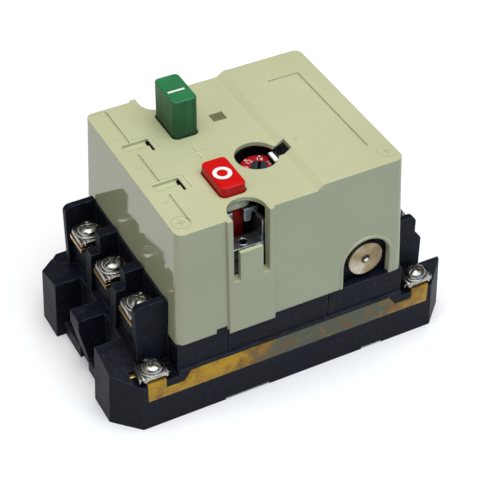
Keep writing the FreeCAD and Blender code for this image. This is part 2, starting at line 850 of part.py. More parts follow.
def arc_chute(y):
    """Splitter plates held by two insulating sheets that stand on the line strip."""
    seat = plinth_height + strip_thickness
    x1 = control_x - bridge_length / 2 - arc_gap
    x0 = -conductor_x + arc_end_play
    inside = arc_half_width - arc_sheet
    top = seat + (arc_plates + 0.5) * arc_pitch
    pieces = [box(x0, x1, y + inside, y + arc_half_width, seat, top),
              box(x0, x1, y - arc_half_width, y - inside, seat, top)]
    for index in range(arc_plates):
        z = seat + (index + 0.5) * arc_pitch
        pieces.append(box(x0, x1, y - inside, y + inside, z, z + arc_plate_gauge))
    return Part.Compound(pieces)


def contact_carrier():
    """Crossbar with a windowed leg in each pole and the upright that the rocker drives."""
    bar_y = inner_y - inner_wall - crossbar_end_play
    half = crossbar_depth / 2
    top = crossbar_bottom + crossbar_height
    pieces = [box(control_x - half, control_x + half, -bar_y, bar_y, crossbar_bottom, top)]
    tools = []
    for y in poles:
        pieces.append(box(control_x - leg_depth / 2, control_x + leg_depth / 2, y - leg_width / 2,
                          y + leg_width / 2, bridge_bottom - leg_bottom_bar, crossbar_bottom))
        window = bridge_width / 2 + free_play
        tools.append(box(control_x - leg_depth, control_x + leg_depth, y - window, y + window,
                         bridge_bottom, chamber_wall_top))
    drive_y, drive_z = pin_place(drive_reach)
    hole = rocker_pin / 2 + pin_play
    width = stem_width / 2
    depth = hole + stem_margin
    pieces.append(box(control_x - width, control_x + width, drive_y - depth, drive_y + depth,
                      top - bury, drive_z + depth))
    tools.append(pin_slot(drive_y, drive_z))
    return without(joined(pieces[0], *pieces[1:]), *tools)


def pin_slot(y, z):
    """Slot across a stem for one of the rocker's pins, long enough for the pin's arc."""
    half = rocker_pin / 2 + pin_play
    return box(control_x - frame_inner, control_x + frame_inner, y - half - pin_play, y + half + pin_play,
               z - half, z + half)


def contact_bridge(y):
    half = bridge_length / 2
    width = bridge_width / 2
    bar = box(control_x - half, control_x + half, y - width, y + width,
              bridge_bottom, bridge_bottom + bridge_thickness)
    tips = []
    for side in (-1, 1):
        x = control_x + side * contact_spacing / 2
        tips.append(rod(contact_tip / 2, (x, y, moving_tip_bottom), (x, y, bridge_bottom + bury)))
    return joined(bar, *tips)


def contact_springs():
    bottom = bridge_bottom + bridge_thickness
    springs = []
    for y in poles:
        springs.append(coil_spring(control_x, y, bottom, chamber_wall_top, contact_spring_radius,
                                   spring_wire, contact_spring_turns))
    return Part.Compound(springs)


def button(y, rest_top, stem_z, side):
    """Button cap on a flat stem, with a cross lip that the cover's guide holds back."""
    top = cover_top + rest_top
    travel = on_travel if side > 0 else off_travel
    lip_top = guide_bottom - free_play if side > 0 else guide_bottom - free_play - travel
    lip_bottom = lip_top - lip_thickness
    cap_bottom = guide_bottom - cap_drop
    cap = button_hole(y, cap_bottom, top, 0.0)
    crown = [edge for edge in cap.Edges if abs(edge.CenterOfMass.z - top) < 0.01]
    cap = cap.makeFillet(button_edge, crown)
    lip_reach = button_width / 2 + lip_width
    lip = box(control_x - lip_reach, control_x + lip_reach, y - lip_length / 2, y + lip_length / 2,
              lip_bottom, lip_top)
    near = side * (button_y + button_length / 2 - stem_length)
    far = side * (button_y + button_length / 2)
    low, high = min(near, far), max(near, far)
    foot = stem_z - rocker_pin / 2 - pin_play - stem_margin
    stem = box(control_x - stem_width / 2, control_x + stem_width / 2, low, high, foot, cap_bottom + bury)
    return joined(cap, lip, stem)


def pin_place(reach):
    """Place of a rocker pin at rest; a positive reach is on the ON side."""
    return pivot_y + reach * math.cos(rocker_angle), pivot_height + reach * math.sin(rocker_angle)


def on_button():
    y, z = pin_place(pin_reach)
    body = button(button_y, button_proud, z, 1)
    spring_side = box(control_x - frame_inner, control_x + frame_inner,
                      button_y + button_length / 2 - on_stem_cut, button_y + button_length,
                      frame_floor_top, guide_bottom - free_play - lip_thickness - spring_post)
    return without(body, pin_slot(y, z), spring_side)


def off_button():
    y, z = pin_place(-off_reach)
    body = button(-button_y, off_proud, z, -1)
    return without(body, pin_slot(y, z))


def on_spring():
    y = button_y + button_length / 2 - on_stem_cut / 2
    top = guide_bottom - free_play - lip_thickness - spring_post
    return coil_spring(control_x, y, frame_floor_top, top, on_spring_radius, spring_wire, on_spring_turns)


def rocker():
    """Yoke of two plates joined by a hub and three cross pins, tilted to the OFF position."""
    inside = stem_width / 2 + side_play
    outside = inside + rocker_plate
    bar = rocker_bar / 2
    pieces = []
    for side in (-1, 1):
        low, high = sorted((control_x + side * inside, control_x + side * outside))
        pieces.append(box(low, high, pivot_y - off_reach, pivot_y + pin_reach,
                          pivot_height - bar, pivot_height + bar))
        for reach in (-off_reach, pin_reach):
            pieces.append(rod(bar, (low, pivot_y + reach, pivot_height),
                              (high, pivot_y + reach, pivot_height)))
    for reach in (-off_reach, drive_reach, pin_reach):
        pieces.append(rod(rocker_pin / 2, (control_x - outside, pivot_y + reach, pivot_height),
                          (control_x + outside, pivot_y + reach, pivot_height)))
    pieces.append(rod(rocker_hub / 2, (control_x - outside, pivot_y, pivot_height),
                      (control_x + outside, pivot_y, pivot_height)))
    bore = rod(pivot_pin / 2 + shaft_play, (control_x - frame_inner, pivot_y, pivot_height),
               (control_x + frame_inner, pivot_y, pivot_height))
    yoke = joined(pieces[0], *pieces[1:]).cut(bore)
    yoke.rotate(Vector(control_x, pivot_y, pivot_height), Vector(1, 0, 0), math.degrees(rocker_angle))
    return yoke


def rocker_pivot():
    reach = frame_inner / 2 + frame_gauge + pivot_end
    return rod(pivot_pin / 2, (control_x - reach, pivot_y, pivot_height),
               (control_x + reach, pivot_y, pivot_height))


def frame_side():
    """Outline of the frame's side plates, in Y and Z: a broad foot, a low waist and two horns."""
    right = [(frame_foot, frame_floor_top - frame_gauge / 2), (frame_foot, inner_height + arm_rise),
             (frame_end, inner_height + arm_rise), (frame_end, frame_horn), (face_position, frame_horn),
             (face_position, tab_top), (face_position - frame_gauge, tab_top),
             (face_position - frame_gauge, frame_waist)]
    return right + [(-a, b) for a, b in reversed(right)]


def frame_face():
    """Hanging tabs, ear with its tapped hole and turned-down front of the frame, on the +Y side."""
    half = frame_inner / 2 + bury
    x0, x1 = control_x - half, control_x + half
    ear_end = frame_end + ear_reach
    tabs = []
    for side in (-1, 1):
        near, far = control_x + side * tab_inset, control_x + side * (tab_inset + tab_width)
        tab = box(min(near, far), max(near, far), face_position - frame_gauge, face_position,
                  tab_bottom, tab_top)
        low = [edge for edge in tab.Edges
               if abs(edge.CenterOfMass.z - tab_bottom) < 0.01 and edge.BoundBox.XLength < 0.01]
        bridge_end = control_x + side * half
        bridge = box(min(near, bridge_end), max(near, bridge_end), face_position - frame_gauge, face_position,
                     frame_horn, tab_top)
        tabs += [tab.makeFillet(tab_corner, low), bridge]
    ear = box(x0, x1, ear_start, ear_end, ear_height - frame_gauge, ear_height)
    front = box(x0, x1, ear_end - frame_gauge, ear_end, inner_height + arm_rise, ear_height)
    hole_y = ear_end - ear_hole_inset
    collar = rod(ear_collar / 2, (control_x, hole_y, ear_height - ear_collar_height),
                 (control_x, hole_y, ear_height))
    hole = rod(ear_hole / 2, (control_x, hole_y, inner_height), (control_x, hole_y, frame_horn))
    return joined(ear, front, collar, *tabs).cut(hole)


def mechanism_frame():
    edge = inner_play
    floor = box(-inner_end + edge, -inner_start - edge, -inner_y + edge, inner_y - edge,
                inner_height, frame_floor_top)
    pieces = [floor]
    for side in (-1, 1):
        inside = control_x + side * frame_inner / 2
        low, high = sorted((inside, inside + side * frame_gauge))
        pieces.append(prism(frame_side(), "x", low, high))
    pieces += both_sides(frame_face())
    drive_y, _ = pin_place(drive_reach)
    room = stem_width / 2 + sight_margin
    above = frame_floor_top + free_play
    tools = [box(control_x - room, control_x + room, drive_y - drive_window, drive_y + drive_window,
                 0, above)]
    tools.append(rod(pivot_pin / 2 + shaft_play, (control_x - frame_inner, pivot_y, pivot_height),
                     (control_x + frame_inner, pivot_y, pivot_height)))
    for x, y in frame_posts():
        tools.append(rod(frame_screw / 2 + seat_play, (x, y, 0), (x, y, above)))
    return without(joined(pieces[0], *pieces[1:]), *tools)


def frame_screws():
    screws = []
    for x, y in frame_posts():
        screws.append(pan_screw(x, y, frame_floor_top, frame_screw_head, frame_screw_head_height, frame_screw,
                                frame_floor_top - chamber_wall_top - 1))
    return Part.Compound(screws)


def cover_screws():
    """Screws from the underside, through the base's columns into the cover's bosses."""
    seat = base_floor / 2
    screws = []
    for y in (-boss_y, boss_y):
        screw = pan_screw(0, 0, 0, cover_screw_head, seat - cover_screw_sink, cover_screw,
                          rim_height + cover_screw_bite - seat)
        screw.rotate(Vector(0, 0, 0), Vector(1, 0, 0), 180)
        screw.translate(Vector(0, y, seat))
        screws.append(screw)
    return Part.Compound(screws)


def trip_housing():
    """Inner moulding of the trip unit: floor, coil cradles, side cheeks that bear the trip shaft."""
    block = inner_block(inner_start, inner_end)
    floor = box(inner_start, inner_end, -inner_y, inner_y, base_floor, base_floor + trip_floor)
    cheek = box(cheek_start, inner_end, inner_y - inner_wall, inner_y, base_floor, cheek_top)
    cradle = coil_flange / 2
    pieces = [floor] + both_sides(cheek)
    tools = []
    for y in poles:
        pieces.append(box(coil_start, coil_end, y + coil_offset - cradle, y + coil_offset + cradle,
                          base_floor, coil_height - cradle))
        half = strip_width / 2 + seat_play
        tools.append(box(inner_end - inner_wall - free_play, end_in, y - half, y + half,
                         terminal_seat - seat_play, inner_height + 1))
        half = coil_lead_width / 2 + seat_play
        tools.append(box(0, inner_start + inner_wall + free_play, y - half, y + half,
                         plinth_height - seat_play, plinth_height + strip_thickness + seat_play))
    guide = box(inner_start, inner_start + inner_wall, slider_width / 2 + free_play,
                slider_width / 2 + free_play + guide_width, chamber_wall_top,
                inner_height + free_play + slider_gauge + guide_rise)
    pieces += both_sides(guide)
    tools.append(rod(trip_shaft / 2 + shaft_play, (trip_x, -inner_y - 1, trip_height),
                     (trip_x, inner_y + 1, trip_height)))
    return without(joined(block, *pieces), *tools)


def trip_coil(y):
    """Magnetic trip coil: square-flanged bobbin with its winding, bored for the plunger."""
    axis_y = y + coil_offset
    half = coil_flange / 2
    flanges = [box(coil_start, coil_start + coil_flange_gauge, axis_y - half, axis_y + half,
                   coil_height - half, coil_height + half),
               box(coil_end - coil_flange_gauge, coil_end, axis_y - half, axis_y + half,
                   coil_height - half, coil_height + half)]
    winding = rod(coil_winding / 2, (coil_start, axis_y, coil_height), (coil_end, axis_y, coil_height))
    bore = rod(plunger_core / 2 + plunger_gap, (coil_start + coil_flange_gauge, axis_y, coil_height),
               (coil_end + 1, axis_y, coil_height))
    return joined(winding, *flanges).cut(bore)


def plunger(y):
    axis_y = y + coil_offset
    core_end = coil_end - 2 * plunger_gap
    core = rod(plunger_core / 2, (coil_start + 2 * coil_flange_gauge, axis_y, coil_height),
               (core_end, axis_y, coil_height))
    tip = trip_x - finger_gauge / 2 - plunger_gap
    rear = (core_end - bury, axis_y, coil_height)
    return joined(core, rod(plunger_rod / 2, rear, (tip, axis_y, coil_height)))


def bimetal(y):
    centre = y + bimetal_offset
    foot = base_floor + trip_floor + strip_thickness
    return box(bimetal_x, bimetal_x + bimetal_gauge, centre - bimetal_width / 2, centre + bimetal_width / 2,
               foot, bimetal_tip)


def heaters():
    """Heater windings round the bimetals, as grooved sleeves."""
    sleeves = []
    for y in poles:
        centre = y + bimetal_offset
        x0, x1 = bimetal_x - heater_play, bimetal_x + bimetal_gauge + heater_play
        y0, y1 = centre - bimetal_width / 2 - heater_play, centre + bimetal_width / 2 + heater_play
        top = heater_bottom + heater_height
        core = heater_gauge / 2
        sleeve = box(x0 - core, x1 + core, y0 - core, y1 + core, heater_bottom, top)
        pitch = heater_height / heater_turns
        rings = []
        for index in range(heater_turns):
            z = heater_bottom + index * pitch
            rings.append(box(x0 - heater_gauge, x1 + heater_gauge, y0 - heater_gauge, y1 + heater_gauge,
                             z, z + pitch / 2))
        sleeves.append(joined(sleeve, *rings).cut(box(x0, x1, y0, y1, heater_bottom - 1, top + 1)))
    return Part.Compound(sleeves)


def trip_shaft_rod():
    return rod(trip_shaft / 2, (trip_x, -disc_back(), trip_height),
               (trip_x, inner_y - free_play, trip_height))


def disc_back():
    """How far from the middle plane the trip shaft's end disc begins."""
    return inner_y + 2 * free_play


def trip_disc():
    """End disc of the trip shaft with the domed head of its rivet."""
    back = -disc_back()
    front = back - disc_thickness
    disc = rod(disc_radius, (trip_x, front, trip_height), (trip_x, back, trip_height))
    ball = (rivet_radius ** 2 + rivet_dome ** 2) / (2 * rivet_dome)
    dome = Part.makeSphere(ball, Vector(trip_x, front + ball - rivet_dome, trip_height))
    keep = box(trip_x - disc_radius, trip_x + disc_radius, front - disc_radius, front + bury,
               trip_height - disc_radius, trip_height + disc_radius)
    return joined(disc, dome.common(keep))


def trip_lever():
    """Sleeve on the trip shaft with a finger for each pole and the arm that pushes the slider."""
    reach = inner_y - inner_wall - free_play
    x0, x1 = trip_x - finger_gauge / 2, trip_x + finger_gauge / 2
    pieces = [rod(trip_sleeve / 2, (trip_x, -reach, trip_height), (trip_x, reach, trip_height))]
    for y in poles:
        pieces.append(box(x0, x1, y - finger_width / 2, y + finger_width / 2, finger_bottom, trip_height))
    half = trip_arm_width / 2
    pieces.append(box(x0, x1, -half, half, trip_height, inner_height + 2 * free_play + slider_gauge))
    bore = rod(trip_shaft / 2 + shaft_play, (trip_x, -inner_y, trip_height), (trip_x, inner_y, trip_height))
    return joined(pieces[0], *pieces[1:]).cut(bore)


def trip_slider():
    """Flat bar from the trip lever's arm to the mechanism, lying in the trip housing's guides."""
    bottom = inner_height + free_play
    half = slider_width / 2
    tip = trip_x - finger_gauge / 2 - free_play
    return box(-slider_nose, tip, -half, half, bottom, bottom + slider_gauge)


def setting_dial():
    """Dial plate on its shaft, with the eccentric that sets the trip point."""
    bottom = dial_face - dial_thickness
    plate = rod(dial_radius, (dial_x, dial_y, bottom), (dial_x, dial_y, dial_face))
    shaft_end = bottom - dial_shaft_length
    shaft = rod(dial_shaft / 2, (dial_x, dial_y, shaft_end), (dial_x, dial_y, bottom))
    cam_x = dial_x + cam_throw
    cam = rod(cam_radius, (cam_x, dial_y, shaft_end), (cam_x, dial_y, shaft_end + cam_height))
    return joined(plate, shaft, cam)


def dial_screw():
    """Slotted hub in the middle of the dial."""
    hub = rod(dial_hub, (dial_x, dial_y, dial_face), (dial_x, dial_y, dial_face + dial_hub_height))
    slot = box(dial_x - 2 * dial_hub, dial_x + 2 * dial_hub, dial_y - dial_slot / 2, dial_y + dial_slot / 2,
               dial_face + dial_hub_height / 3, dial_face + 1)
    slot.rotate(Vector(dial_x, dial_y, 0), Vector(0, 0, 1), dial_slot_turn)
    return hub.cut(slot)


def dial_holder():
    """Cup under the window that bears the dial, with a ribbed block and the pointer's ledge in its slot."""
    floor_top = dial_face - dial_thickness - free_play
    bottom = floor_top - cup_floor
    cup = keyhole(0.0, bottom, roof_under, cup_wall).cut(
        rod(dial_radius + free_play, (dial_x, dial_y, floor_top), (dial_x, dial_y, roof_under + 1)))
    half = window_slot / 2 - seat_play
    low, high = window_slot_y - half, window_slot_y + half
    block_end = window_slot_end - seat_play
    block = box(block_start, block_end, low, high, pointer_seat - bury, insert_top)
    ledge = box(pointer_start, block_start + bury, low, high, dial_face + dial_hub_height, pointer_seat)
    pitch = (block_end - block_start) / insert_ribs
    ribs = []
    for index in range(insert_ribs):
        x = block_start + (index + 0.25) * pitch
        ribs.append(box(x, x + pitch / 2, low, high, insert_top - bury, insert_top + rib_height))
    bore = rod(dial_shaft / 2 + shaft_play, (dial_x, dial_y, bottom - 1), (dial_x, dial_y, floor_top + 1))
    return joined(cup, block, ledge, *ribs).cut(bore)


def pointer():
    """Index plate across the mouth of the slot, lying on the holder's ledge."""
    half = window_slot / 2 - seat_play
    return box(pointer_start, block_start, window_slot_y - half, window_slot_y + half,
               pointer_seat, pointer_seat + pointer_thickness)


def make_parts():
    parts = {
        "base_housing": base_housing(),
        "top_cover": top_cover(),
        "earth_strip": earth_strip(),
        "earth_clamps": earth_clamps(),
        "earth_screws": earth_screws(),
        "line_clamps": terminal_clamps(-1),
        "line_screws": terminal_screws(-1),
        "load_clamps": terminal_clamps(1),
        "load_screws": terminal_screws(1),
        "switch_housing": switch_housing(),
        "mechanism_frame": mechanism_frame(),
        "frame_screws": frame_screws(),
        "cover_screws": cover_screws(),
        "on_button": on_button(),
        "off_button": off_button(),
        "on_spring": on_spring(),
        "rocker": rocker(),
        "rocker_pivot": rocker_pivot(),
        "contact_carrier": contact_carrier(),
        "contact_springs": contact_springs(),
        "trip_housing": trip_housing(),
        "heaters": heaters(),
        "trip_shaft": trip_shaft_rod(),
        "trip_disc": trip_disc(),
        "trip_lever": trip_lever(),
        "trip_slider": trip_slider(),
        "setting_dial": setting_dial(),
        "dial_screw": dial_screw(),
        "dial_holder": dial_holder(),
        "pointer": pointer(),
    }
    for number, y in enumerate(poles, start=1):
        parts[f"line_strip_{number}"] = line_strip(y)
        parts[f"load_strip_{number}"] = load_strip(y)
        parts[f"coil_lead_{number}"] = coil_lead(y)
        parts[f"arc_chute_{number}"] = arc_chute(y)
        parts[f"contact_bridge_{number}"] = contact_bridge(y)
        parts[f"trip_coil_{number}"] = trip_coil(y)
        parts[f"plunger_{number}"] = plunger(y)
        parts[f"bimetal_{number}"] = bimetal(y)
    return parts


os.makedirs("parts", exist_ok=True)
for name, shape in make_parts().items():
    shape.exportStep(f"parts/{name}.step")
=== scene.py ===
import bpy
import bmesh
import json
import math
from mathutils import Matrix, Vector


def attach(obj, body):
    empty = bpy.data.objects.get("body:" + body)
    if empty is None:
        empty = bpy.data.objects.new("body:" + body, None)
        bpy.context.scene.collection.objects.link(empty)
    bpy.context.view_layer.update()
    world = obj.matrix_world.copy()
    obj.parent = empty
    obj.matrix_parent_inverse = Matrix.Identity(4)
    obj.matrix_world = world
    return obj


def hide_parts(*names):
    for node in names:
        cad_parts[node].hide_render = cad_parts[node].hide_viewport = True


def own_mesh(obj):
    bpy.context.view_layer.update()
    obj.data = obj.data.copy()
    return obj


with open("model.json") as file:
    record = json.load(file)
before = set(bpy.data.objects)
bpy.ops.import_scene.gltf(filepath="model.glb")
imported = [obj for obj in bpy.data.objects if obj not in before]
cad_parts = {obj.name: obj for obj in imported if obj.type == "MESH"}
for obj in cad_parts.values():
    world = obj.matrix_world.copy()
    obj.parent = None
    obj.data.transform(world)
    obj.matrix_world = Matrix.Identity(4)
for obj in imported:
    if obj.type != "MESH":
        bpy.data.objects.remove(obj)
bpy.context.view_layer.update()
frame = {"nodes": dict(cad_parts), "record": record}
nodes = frame["nodes"]
print("frame loaded:", len(nodes), "nodes")

weldGap = 0.001  # mm between points that count as one
planeGap = 0.0005  # mm from a cutting plane within which a point is on it
colorA, colorB, colorOut = 6, 7, 2  # sockets of a Mix node's two colours and of their mixture


def mm(*values):
    return values[0] / 1000 if len(values) == 1 else Vector(values) / 1000


def fromHex(code):
    # sRGB hex to the linear colour that a shader takes
    parts = [int(code[i:i + 2], 16) / 255 for i in (1, 3, 5)]
    linear = [p / 12.92 if p <= 0.04045 else ((p + 0.055) / 1.055) ** 2.4 for p in parts]
    return (*linear, 1.0)


def perMm(size):
    # texture scale for a pattern of this size in mm, on coordinates in metres
    return 1000 / size


def setInputs(tree, node, links):
    for socket, value in links.items():
        if isinstance(value, bpy.types.NodeSocket):
            tree.links.new(value, node.inputs[socket])
        else:
            node.inputs[socket].default_value = value


def addNode(tree, kind, links=None, stops=None, **settings):
    node = tree.nodes.new(kind)
    for key, value in settings.items():
        setattr(node, key, value)
    setInputs(tree, node, links or {})
    for index, (place, color) in enumerate(stops or []):
        ramp = node.color_ramp.elements
        stop = ramp[index] if index < 2 else ramp.new(place)
        stop.position = place
        stop.color = fromHex(color)
    return node


def startMaterial(name):
    material = bpy.data.materials.new(name)
    material.use_nodes = True
    tree = material.node_tree
    tree.nodes.clear()
    shader = addNode(tree, "ShaderNodeBsdfPrincipled")
    addNode(tree, "ShaderNodeOutputMaterial", {"Surface": shader.outputs[0]})
    place = addNode(tree, "ShaderNodeTexCoord").outputs["Object"]
    return material, tree, shader, place


def edgeFactor(tree, rounded):
    # 0 on flat faces, rising to 1 along the edges, where the rounded normal leaves the flat one
    flat = addNode(tree, "ShaderNodeNewGeometry").outputs["Normal"]
    facing = addNode(tree, "ShaderNodeVectorMath", {0: rounded, 1: flat}, operation="DOT_PRODUCT")
    return addNode(tree, "ShaderNodeMapRange",
                   {"Value": facing.outputs["Value"], "From Min": 0.99, "From Max": 0.85}).outputs[0]


# Urea moulding of the cover: a glossy, faintly mottled skin with soft edges and handling marks,
# and painted light that makes the step across the roof paler
ureaSet = {
    # step is the paler tone of the painted light on the step's slope
    "tones": ("#b8b993", "#bebf98"), "soil": "#a3a37e", "step": "#c2c39c", "gloss": (0.04, 0.09), "edge": 0.5,
    "cloudSize": 26, "soilSize": 4, "grainSize": 0.8,
    "stepStart": 7.8, "stepEnd": 10.2, "stepFade": 0.05, "stepFoot": 70.97,
}


def ureaMoulding():
    material, tree, shader, place = startMaterial("urea_moulding_beige")
    cloud = addNode(tree, "ShaderNodeTexNoise",
                    {"Vector": place, "Scale": perMm(ureaSet["cloudSize"]), "Detail": 4})
    tone = addNode(tree, "ShaderNodeValToRGB", {0: cloud.outputs[0]},
                   stops=zip((0.35, 0.65), ureaSet["tones"]))
    soil = addNode(tree, "ShaderNodeTexNoise",
                   {"Vector": place, "Scale": perMm(ureaSet["soilSize"]), "Detail": 8, "Roughness": 0.75})
    smudge = addNode(tree, "ShaderNodeMapRange",
                     {"Value": soil.outputs[0], "From Min": 0.60, "From Max": 0.80, "To Max": 0.5})
    soiled = addNode(tree, "ShaderNodeMix",
                     {0: smudge.outputs[0], colorA: tone.outputs[0], colorB: fromHex(ureaSet["soil"])},
                     data_type="RGBA")
    # painted light: the step's slope, between its start and end and above its foot, takes the paler step tone
    where = addNode(tree, "ShaderNodeSeparateXYZ", {0: place})
    start, end, fade, foot = (mm(ureaSet[key]) for key in ("stepStart", "stepEnd", "stepFade", "stepFoot"))
    rise = addNode(tree, "ShaderNodeMapRange",
                   {"Value": where.outputs["X"], "From Min": start - fade, "From Max": start})
    fall = addNode(tree, "ShaderNodeMapRange",
                   {"Value": where.outputs["X"], "From Min": end + fade, "From Max": end})
    above = addNode(tree, "ShaderNodeMapRange",
                    {"Value": where.outputs["Z"], "From Min": foot, "From Max": foot + fade / 2})
    paintedLightBand = addNode(tree, "ShaderNodeMath", {0: rise.outputs[0], 1: fall.outputs[0]}, operation="MULTIPLY")
    step = addNode(tree, "ShaderNodeMath", {0: paintedLightBand.outputs[0], 1: above.outputs[0]}, operation="MULTIPLY")
    color = addNode(tree, "ShaderNodeMix",
                    {0: step.outputs[0], colorA: soiled.outputs[colorOut], colorB: fromHex(ureaSet["step"])},
                    data_type="RGBA")
    smooth, dull = ureaSet["gloss"]
    gloss = addNode(tree, "ShaderNodeMapRange", {"Value": soil.outputs[0], "From Min": 0.3, "From Max": 0.7,
                                                 "To Min": smooth, "To Max": dull})
    rounded = addNode(tree, "ShaderNodeBevel", {"Radius": mm(ureaSet["edge"])}, samples=6)
    grain = addNode(tree, "ShaderNodeTexNoise",
                    {"Vector": place, "Scale": perMm(ureaSet["grainSize"]), "Detail": 2})
    bump = addNode(tree, "ShaderNodeBump", {"Height": grain.outputs[0], "Strength": 0.02,
                                            "Distance": mm(0.02), "Normal": rounded.outputs[0]})
    setInputs(tree, shader, {"Base Color": color.outputs[colorOut], "Roughness": gloss.outputs[0],
                             "IOR": 1.52, "Normal": bump.outputs[0]})
    return material


# Phenolic moulding of the base: blue-black and dusty, paler along its edges, partly rubbed wear and partly a
# painted highlight
phenolicSet = {
    "tones": ("#090b12", "#111624"), "dust": "#343a48", "wearAndHighlight": "#5f6570", "gloss": (0.46, 0.60), "edge": 0.4,
    "cloudSize": 9, "chipSize": 1.6, "dustSize": 2.2, "grainSize": 0.6,
}


def phenolicMoulding():
    material, tree, shader, place = startMaterial("phenolic_moulding_black")
    cloud = addNode(tree, "ShaderNodeTexNoise",
                    {"Vector": place, "Scale": perMm(phenolicSet["cloudSize"]), "Detail": 6,
                     "Roughness": 0.65})
    tone = addNode(tree, "ShaderNodeValToRGB", {0: cloud.outputs[0]},
                   stops=zip((0.35, 0.75), phenolicSet["tones"]))
    rounded = addNode(tree, "ShaderNodeBevel", {"Radius": mm(phenolicSet["edge"])}, samples=6)
    edge = edgeFactor(tree, rounded.outputs[0])
    chip = addNode(tree, "ShaderNodeTexNoise",
                   {"Vector": place, "Scale": perMm(phenolicSet["chipSize"]), "Detail": 4})
    marksAndSheen = addNode(tree, "ShaderNodeMapRange", {"Value": chip.outputs[0], "From Min": 0.35, "From Max": 0.65,
                                                "To Min": 0.15, "To Max": 0.75})
    # the pale edge tone is partly rubbed wear and partly a painted highlight
    wearAndHighlight = addNode(tree, "ShaderNodeMath", {0: edge, 1: marksAndSheen.outputs[0]}, operation="MULTIPLY")
    dust = addNode(tree, "ShaderNodeTexNoise",
                   {"Vector": place, "Scale": perMm(phenolicSet["dustSize"]), "Detail": 8, "Roughness": 0.8})
    settled = addNode(tree, "ShaderNodeMapRange",
                      {"Value": dust.outputs[0], "From Min": 0.5, "From Max": 0.75, "To Max": 0.5})
    dusted = addNode(tree, "ShaderNodeMix",
                     {0: settled.outputs[0], colorA: tone.outputs[0], colorB: fromHex(phenolicSet["dust"])},
                     data_type="RGBA")
    color = addNode(tree, "ShaderNodeMix",
                    {0: wearAndHighlight.outputs[0], colorA: dusted.outputs[colorOut],
                     colorB: fromHex(phenolicSet["wearAndHighlight"])},
                    data_type="RGBA")
    smooth, dull = phenolicSet["gloss"]
    gloss = addNode(tree, "ShaderNodeMapRange", {"Value": cloud.outputs[0], "From Min": 0.3, "From Max": 0.7,
                                                 "To Min": smooth, "To Max": dull})
    grain = addNode(tree, "ShaderNodeTexNoise",
                    {"Vector": place, "Scale": perMm(phenolicSet["grainSize"]), "Detail": 3})
    bump = addNode(tree, "ShaderNodeBump", {"Height": grain.outputs[0], "Strength": 0.2, "Distance": mm(0.04),
                                            "Normal": rounded.outputs[0]})
    setInputs(tree, shader, {"Base Color": color.outputs[colorOut], "Roughness": gloss.outputs[0],
                             "IOR": 1.58, "Specular IOR Level": 0.1, "Normal": bump.outputs[0]})
    return material


# Smooth injection moulding: one colour with a faint flow mottle and a glossy skin, with painted shade towards
# its foot, and with darker streaks down its sides that are partly drag marks from the mould and partly
# painted shade
glossSet = {"cloudSize": 7, "streakSize": 1.5, "streakStretch": 0.04, "rubSize": 1.2, "rub": 0.06,
            "edge": 0.25}


def glossMoulding(name, dark, light, rough, specular=0.5, foot=57, shadeTop=70, footShadeShare=1.0, sideStreakShade=0.05):
    # painted shade: the colour falls from all of it at its upper height to the given share of it at the
    # height foot
    material, tree, shader, place = startMaterial(name)
    cloud = addNode(tree, "ShaderNodeTexNoise",
                    {"Vector": place, "Scale": perMm(glossSet["cloudSize"]), "Detail": 4})
    beforeShade = addNode(tree, "ShaderNodeValToRGB", {0: cloud.outputs[0]}, stops=[(0.3, dark), (0.7, light)])
    height = addNode(tree, "ShaderNodeSeparateXYZ", {0: place}).outputs["Z"]
    # painted shade: darker towards the foot
    depth = addNode(tree, "ShaderNodeMapRange", {"Value": height, "From Min": mm(foot), "From Max": mm(shadeTop),
                                                 "To Min": footShadeShare, "To Max": 1.0})
    pulled = addNode(tree, "ShaderNodeMapping", {"Vector": place, "Scale": (1, 1, glossSet["streakStretch"])})
    drag = addNode(tree, "ShaderNodeTexNoise",
                   {"Vector": pulled.outputs[0], "Scale": perMm(glossSet["streakSize"]), "Detail": 2})
    streak = addNode(tree, "ShaderNodeMapRange",
                     {"Value": drag.outputs[0], "From Min": 0.35, "From Max": 0.65,
                      "To Min": 1 - sideStreakShade, "To Max": 1.0})
    # the side faces get darker streaks, partly drag marks from the mould and partly painted shade
    facing = addNode(tree, "ShaderNodeNewGeometry").outputs["True Normal"]
    upward = addNode(tree, "ShaderNodeSeparateXYZ", {0: facing}).outputs["Z"]
    # sockets 2 and 3 are the two plain values of a Mix node
    sides = addNode(tree, "ShaderNodeMix", {0: upward, 2: streak.outputs[0], 3: 1.0})
    shade = addNode(tree, "ShaderNodeMath", {0: depth.outputs[0], 1: sides.outputs[0]}, operation="MULTIPLY")
    tone = addNode(tree, "ShaderNodeVectorMath", {0: beforeShade.outputs[0], "Scale": shade.outputs[0]},
                   operation="SCALE")
    rub = addNode(tree, "ShaderNodeTexNoise",
                  {"Vector": place, "Scale": perMm(glossSet["rubSize"]), "Detail": 5})
    gloss = addNode(tree, "ShaderNodeMapRange", {"Value": rub.outputs[0], "From Min": 0.3, "From Max": 0.7,
                                                 "To Min": rough, "To Max": rough + glossSet["rub"]})
    rounded = addNode(tree, "ShaderNodeBevel", {"Radius": mm(glossSet["edge"])}, samples=4)
    bump = addNode(tree, "ShaderNodeBump", {"Height": cloud.outputs[0], "Strength": 0.05, "Distance": mm(0.1),
                                            "Normal": rounded.outputs[0]})
    setInputs(tree, shader, {"Base Color": tone.outputs[0], "Roughness": gloss.outputs[0],
                             "IOR": 1.5, "Specular IOR Level": specular, "Normal": bump.outputs[0]})
    return material


# Plated or bare metal with tarnish clouds, fine scratches along X and a painted highlight along its
# rolled-over edges
metalSet = {"cloudSize": 3, "scratchSize": 0.3, "scratchStretch": 0.06, "dulled": 0.16, "glintTone": "#e6e6e2"}


